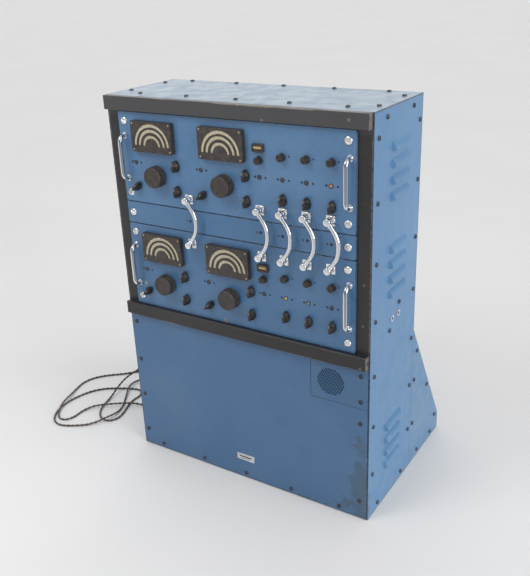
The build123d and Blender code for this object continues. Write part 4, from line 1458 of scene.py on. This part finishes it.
for unit, bottom in UNIT_BOTTOM.items():
    build_indicator(unit, bottom)
    build_marks(unit, bottom)
link_dots = bmesh.new()
for column in (-92.0, 60.0, 104.0, 152.0, 197.0):
    for offset, radius in ((-8.0, 1.7), (0.0, 3.0)):
        spot = facing_front((column + offset) * MM, LINK_MIDDLE, PANEL_FACE)
        add_lathe(link_dots, [(radius * MM, 0.0), (radius * MM, 0.1 * MM)], 18, matrix=spot)
finish_piece("link_panel_dots", link_dots, [ENGRAVING], "root")


# ================================================================ links, sockets and handles
def build_link(number, column):
    """Chrome patch link: two stepped plugs with round caps and a bowed tube."""
    node = f"patch_link_{number + 1}"
    shape = bmesh.new()
    plug = [
        (0, -10.0),
        (4.0, -10.0),
        (4.0, 7.1),
        (6.6, 7.3),
        (6.9, 7.8),
        (6.9, 11.0, True),
        (6.6, 11.6),
        (5.3, 11.9),
        (5.3, 13.2),
        (6.2, 13.6),
        (6.6, 14.2),
        (6.6, 20.6),
        (6.3, 21.6),
        (5.6, 22.2),
        (4.2, 22.45),
        (0, 22.5),
    ]
    for level in (-1, 1):
        spot = facing_front(column * MM, LINK_MIDDLE + level * LINK_HALF_HEIGHT)
        add_lathe(shape, [(r * MM, h * MM, *rest) for r, h, *rest in plug], 40, 20, 0.4 * MM, spot)
    bow = [(0, 42.0), (19.5, 15.5), (19.5, -15.5), (0, -42.0)]
    points = [Vector(((column + x) * MM, FRONT_Y - LINK_PLANE, LINK_MIDDLE + z * MM)) for x, z in bow]
    path = round_corners(points, 42 * MM, 16)
    add_tube(shape, path, 3.7 * MM, 24)
    for end, following in ((path[0], path[1]), (path[-1], path[-2])):
        along = (following - end).normalized()
        add_tube(shape, [end + along * 5 * MM, end + along * 10 * MM], 4.5 * MM, 24)
    finish_piece(f"bowed_link_{number + 1}", shape, [LINK_CHROME], node, [node], 40)


for number, column in enumerate(LINK_COLUMNS):
    build_link(number, column)

SOCKET_SCREW = slotted_head("socket_screw", 1.1 * MM, 0.6 * MM, 0.4 * MM, 0.4 * MM)
flange_corners = [
    ((column + side * 6.9) * MM, LINK_MIDDLE + level * LINK_HALF_HEIGHT + rise * 6.9 * MM, 0)
    for column in LINK_COLUMNS
    for level in (-1, 1)
    for side in (-1, 1)
    for rise in (-1, 1)
]
settings = {"Screw": SOCKET_SCREW, "Spin": pi, "Seed": 9, "Finish": RACK_SCREW_METAL}
heads = run_tree(SCREW_TREE, flange_corners, settings, "socket_screws")
on_flange = facing_front(0, 0, PANEL_FACE + 3.0 * MM)
finish_mesh("socket_screws", join_meshes("socket_screws", [(heads, on_flange)]), [], "root")


def build_handles():
    """Four rod handles with stepped ferrules."""
    shape = bmesh.new()
    outline = (
        (4.0, 0.0), (6.6, 0.0), (6.6, 1.0), (6.2, 1.7), (5.4, 2.2), (5.0, 3.0), (4.4, 3.4), (4.0, 3.4)
    )
    ferrule = [(radius * MM, height * MM) for radius, height in outline]
    for bottom in UNIT_BOTTOM.values():
        for side in (-1, 1):
            low_foot = bottom + HANDLE_MIDDLE - HANDLE_HALF_SPAN
            top_foot = bottom + HANDLE_MIDDLE + HANDLE_HALF_SPAN
            x = side * HANDLE_X
            points = [
                Vector((x, FRONT_Y - PANEL_FACE, low_foot)),
                Vector((x, FRONT_Y - HANDLE_REACH, low_foot)),
                Vector((x, FRONT_Y - HANDLE_REACH, top_foot)),
                Vector((x, FRONT_Y - PANEL_FACE, top_foot)),
            ]
            add_tube(shape, round_corners(points, 12 * MM, 12), HANDLE_ROD, 24)
            for foot in (low_foot, top_foot):
                add_ring(shape, ferrule, 36, facing_front(x, foot, PANEL_FACE))
    finish_piece("pull_handles", shape, [ROD_CHROME], "root", ["panel_handles"], 40)


build_handles()


# ================================================================ screws
RACK_SCREW = slotted_head("rack_screw", 6.8 * MM, 3.2 * MM, 1.6 * MM, 1.9 * MM)
CASE_SCREW = slotted_head("case_screw", 4.1 * MM, 2.9 * MM, 1.1 * MM, 1.2 * MM)
SIDE_COLUMNS = {
    17.5: (713.0, 609.0, 505.7, 402.4, 297.3, 195.2, 93.3),
    184.0: (712.0, 608.5, 502.6, 400.5, 299.0, 196.0, 95.3),
}
SIDE_PAIRS = ((48.0, 740.0), (155.0, 740.0), (42.5, 13.0), (153.7, 13.0))
JACK_SCREWS = ((79.0, 360.0), (118.0, 401.0))
WING_SCREWS = (
    (208.0, 196.0),
    (208.0, 95.5),
    (217.9, 256.0),
    (281.0, 148.7),
    (339.5, 43.6),
    (239.8, 13.0),
    (315.6, 13.0),
)


def screw_points():
    """Places of the case screws on each face: frame of the face, then local points."""
    across = [x * MM for x in (-210.0, -105.0, 0.0, 105.0, 210.0)]
    top = [(x, FRONT_Y + y * MM, 0) for x in across for y in (28.0, 186.0)]
    top += [(x * MM, FRONT_Y + y * MM, 0) for x in (-252.0, 252.0) for y in (52.0, 152.0)]
    front = [(-254.0 * MM, z * MM, 0) for z in (298.0, 211.0, 126.7, 39.0)]
    front += [(x * MM, 12.5 * MM, 0) for x in (-215.0, -105.0, 0.0, 105.0, 210.0)]
    front += [(252.0 * MM, z * MM, 0) for z in (303.5, 252.0, 207.6, 39.7)]
    side = [(depth, z) for depth, column in SIDE_COLUMNS.items() for z in column]
    side += list(SIDE_PAIRS) + list(WING_SCREWS)
    rear = [(x * MM, z * MM, 0) for x in (-252.0, 252.0) for z in (340.0, 470.0, 600.0, 730.0)]
    rear += [(x * MM, 740.0 * MM, 0) for x in (-105.0, 0.0, 105.0)]
    yield Matrix.Translation((0, 0, TOP_Z)), top
    yield facing_front(0, 0, SHEET), front
    yield facing_rear(), rear
    for hand in (-1, 1):
        local = [(hand * (FRONT_Y + depth * MM), z * MM, 0) for depth, z in side]
        if hand == 1:
            local += [(FRONT_Y + depth * MM, z * MM, 0) for depth, z in JACK_SCREWS]
        yield facing_side(hand), local


case_parts = []
for seed, (matrix, local) in enumerate(screw_points()):
    settings = {"Screw": CASE_SCREW, "Spin": pi, "Seed": seed, "Finish": CASE_SCREW_METAL}
    case_parts.append((run_tree(SCREW_TREE, local, settings, "case_screws"), matrix))
case_heads = join_meshes("case_screws", case_parts)
finish_mesh("case_screws", case_heads, [], "root", ["panel_screws"])
rack_places = [
    (side * RACK_SCREW_X, height, 0)
    for side in (-1, 1)
    for height in [b + h for b in UNIT_BOTTOM.values() for h in RACK_SCREW_HEIGHTS] + [LINK_MIDDLE]
]
settings = {"Screw": RACK_SCREW, "Spin": pi, "Seed": 3, "Finish": RACK_SCREW_METAL}
rack_heads = run_tree(SCREW_TREE, rack_places, settings, "rack_screws")
on_panel = facing_front(0, 0, PANEL_FACE)
finish_mesh("rack_screws", join_meshes("rack_screws", [(rack_heads, on_panel)]), [], "root")


# ================================================================ speaker cloth and name plate
def build_speaker_cloth():
    """Woven disc just behind the perforations."""
    shape = bmesh.new()
    spot = facing_front(192.9 * MM, 277.0 * MM, -1.6 * MM)
    add_lathe(shape, [(29.4 * MM, 0.0), (29.4 * MM, 1.0 * MM), (0, 1.0 * MM)], 48, matrix=spot)
    finish_piece("speaker_cloth", shape, [CLOTH], "root")


def build_name_plate():
    """Plain metal plate with a raised border and three blank bars."""
    shape = bmesh.new()
    spot = facing_front(0, 49.5 * MM, SHEET)
    add_slab(shape, (-20.5 * MM, -7.2 * MM, 0), (20.5 * MM, 7.2 * MM, 0.8 * MM), spot, 0.3 * MM)
    for base, top in ((6.3, 6.9), (-6.9, -6.3)):
        low = (-20 * MM, base * MM, 0.7 * MM)
        high = (20 * MM, top * MM, 1.2 * MM)
        add_slab(shape, low, high, spot, 0.1 * MM)
    finish_piece("name_plate", shape, [NAME_PLATE_METAL], "root")
    bars = bmesh.new()
    for start, end, level, tall in ((-14, 14, 1.2, 2.6), (-10, -1, -3.6, 1.0), (1.5, 10, -3.6, 1.0)):
        low = (start * MM, (level - tall / 2) * MM, 0.75 * MM)
        high = (end * MM, (level + tall / 2) * MM, 1.0 * MM)
        add_slab(bars, low, high, spot)
    finish_piece("name_plate_bars", bars, [ENGRAVING], "root")


build_speaker_cloth()
build_name_plate()
for template in (BEZEL_SCREW, SOCKET_SCREW, RACK_SCREW, CASE_SCREW):
    bpy.data.objects.remove(template)


# ================================================================ floor and light
SKY_LEVEL = 0.50
SKY_GLOW = 1.4


def build_floor():
    """Pale seamless floor."""
    material, tree, position, shader = new_material("pale_floor")
    cloud = noise(tree, position, 1.3, 3.0)
    tone = fade(tree, cloud, 0.3, 0.7)
    base = blend_colour(tree, tone, colour(0.655, 0.651, 0.648), colour(0.675, 0.669, 0.665))
    link_surface(tree, shader, base, fade(tree, cloud, 0.2, 0.8, 0.85, 0.95))
    shader.inputs["Specular IOR Level"].default_value = 0.15
    mesh = bpy.data.meshes.new("studio_floor")
    reach = 60.0
    corners = [(-reach, -reach, 0), (reach, -reach, 0), (reach, reach, 0), (-reach, reach, 0)]
    mesh.from_pydata(corners, [], [(0, 1, 2, 3)])
    mesh.materials.append(material)
    ground = bpy.data.objects.new("studio_floor", mesh)
    bpy.context.scene.collection.objects.link(ground)


def add_softbox(name, place_at, aim_at, size, power):
    """Rectangular area light turned towards a point."""
    light = bpy.data.lights.new(name, "AREA")
    light.shape = "RECTANGLE"
    light.size, light.size_y = size
    light.energy = power
    lamp = bpy.data.objects.new(name, light)
    lamp.location = place_at
    lamp.rotation_euler = (Vector(aim_at) - Vector(place_at)).to_track_quat("-Z", "Y").to_euler()
    bpy.context.scene.collection.objects.link(lamp)


def add_sun(name, heading, strength, spread):
    """Distant light that comes from a wide angle."""
    light = bpy.data.lights.new(name, "SUN")
    light.energy = strength
    light.angle = radians(spread)
    lamp = bpy.data.objects.new(name, light)
    lamp.rotation_euler = Vector(heading).to_track_quat("-Z", "Y").to_euler()
    bpy.context.scene.collection.objects.link(lamp)


def set_light():
    """Even studio sky, brighter behind the cabinet, with two wide suns and one soft box."""
    world = bpy.data.worlds.new("studio_sky")
    world.use_nodes = True
    tree = world.node_tree
    direction = tree.nodes.new("ShaderNodeTexCoord").outputs["Generated"]
    glow = place(
        tree,
        "ShaderNodeVectorMath",
        {0: direction, 1: Vector((-0.50, 0.78, 0.38)).normalized()},
        operation="DOT_PRODUCT",
    ).outputs["Value"]
    strength = fade(tree, glow, 0.62, 0.95, SKY_LEVEL, SKY_GLOW)
    sky = tree.nodes["Background"]
    sky.inputs["Color"].default_value = (0.985, 0.99, 1.0, 1.0)
    tree.links.new(strength, sky.inputs["Strength"])
    bpy.context.scene.world = world
    add_sun("overhead_sun", (-0.35, 0.15, -1.0), 0.9, 70)
    add_sun("right_sun", (-1.0, 0.12, -0.22), 2.5, 50)
    add_softbox("key_box", (-0.55, -1.2, 1.85), (0, FRONT_Y, 0.85), (0.8, 0.8), 12)


build_floor()
set_light()
bpy.context.scene.view_settings.view_transform = "Standard"
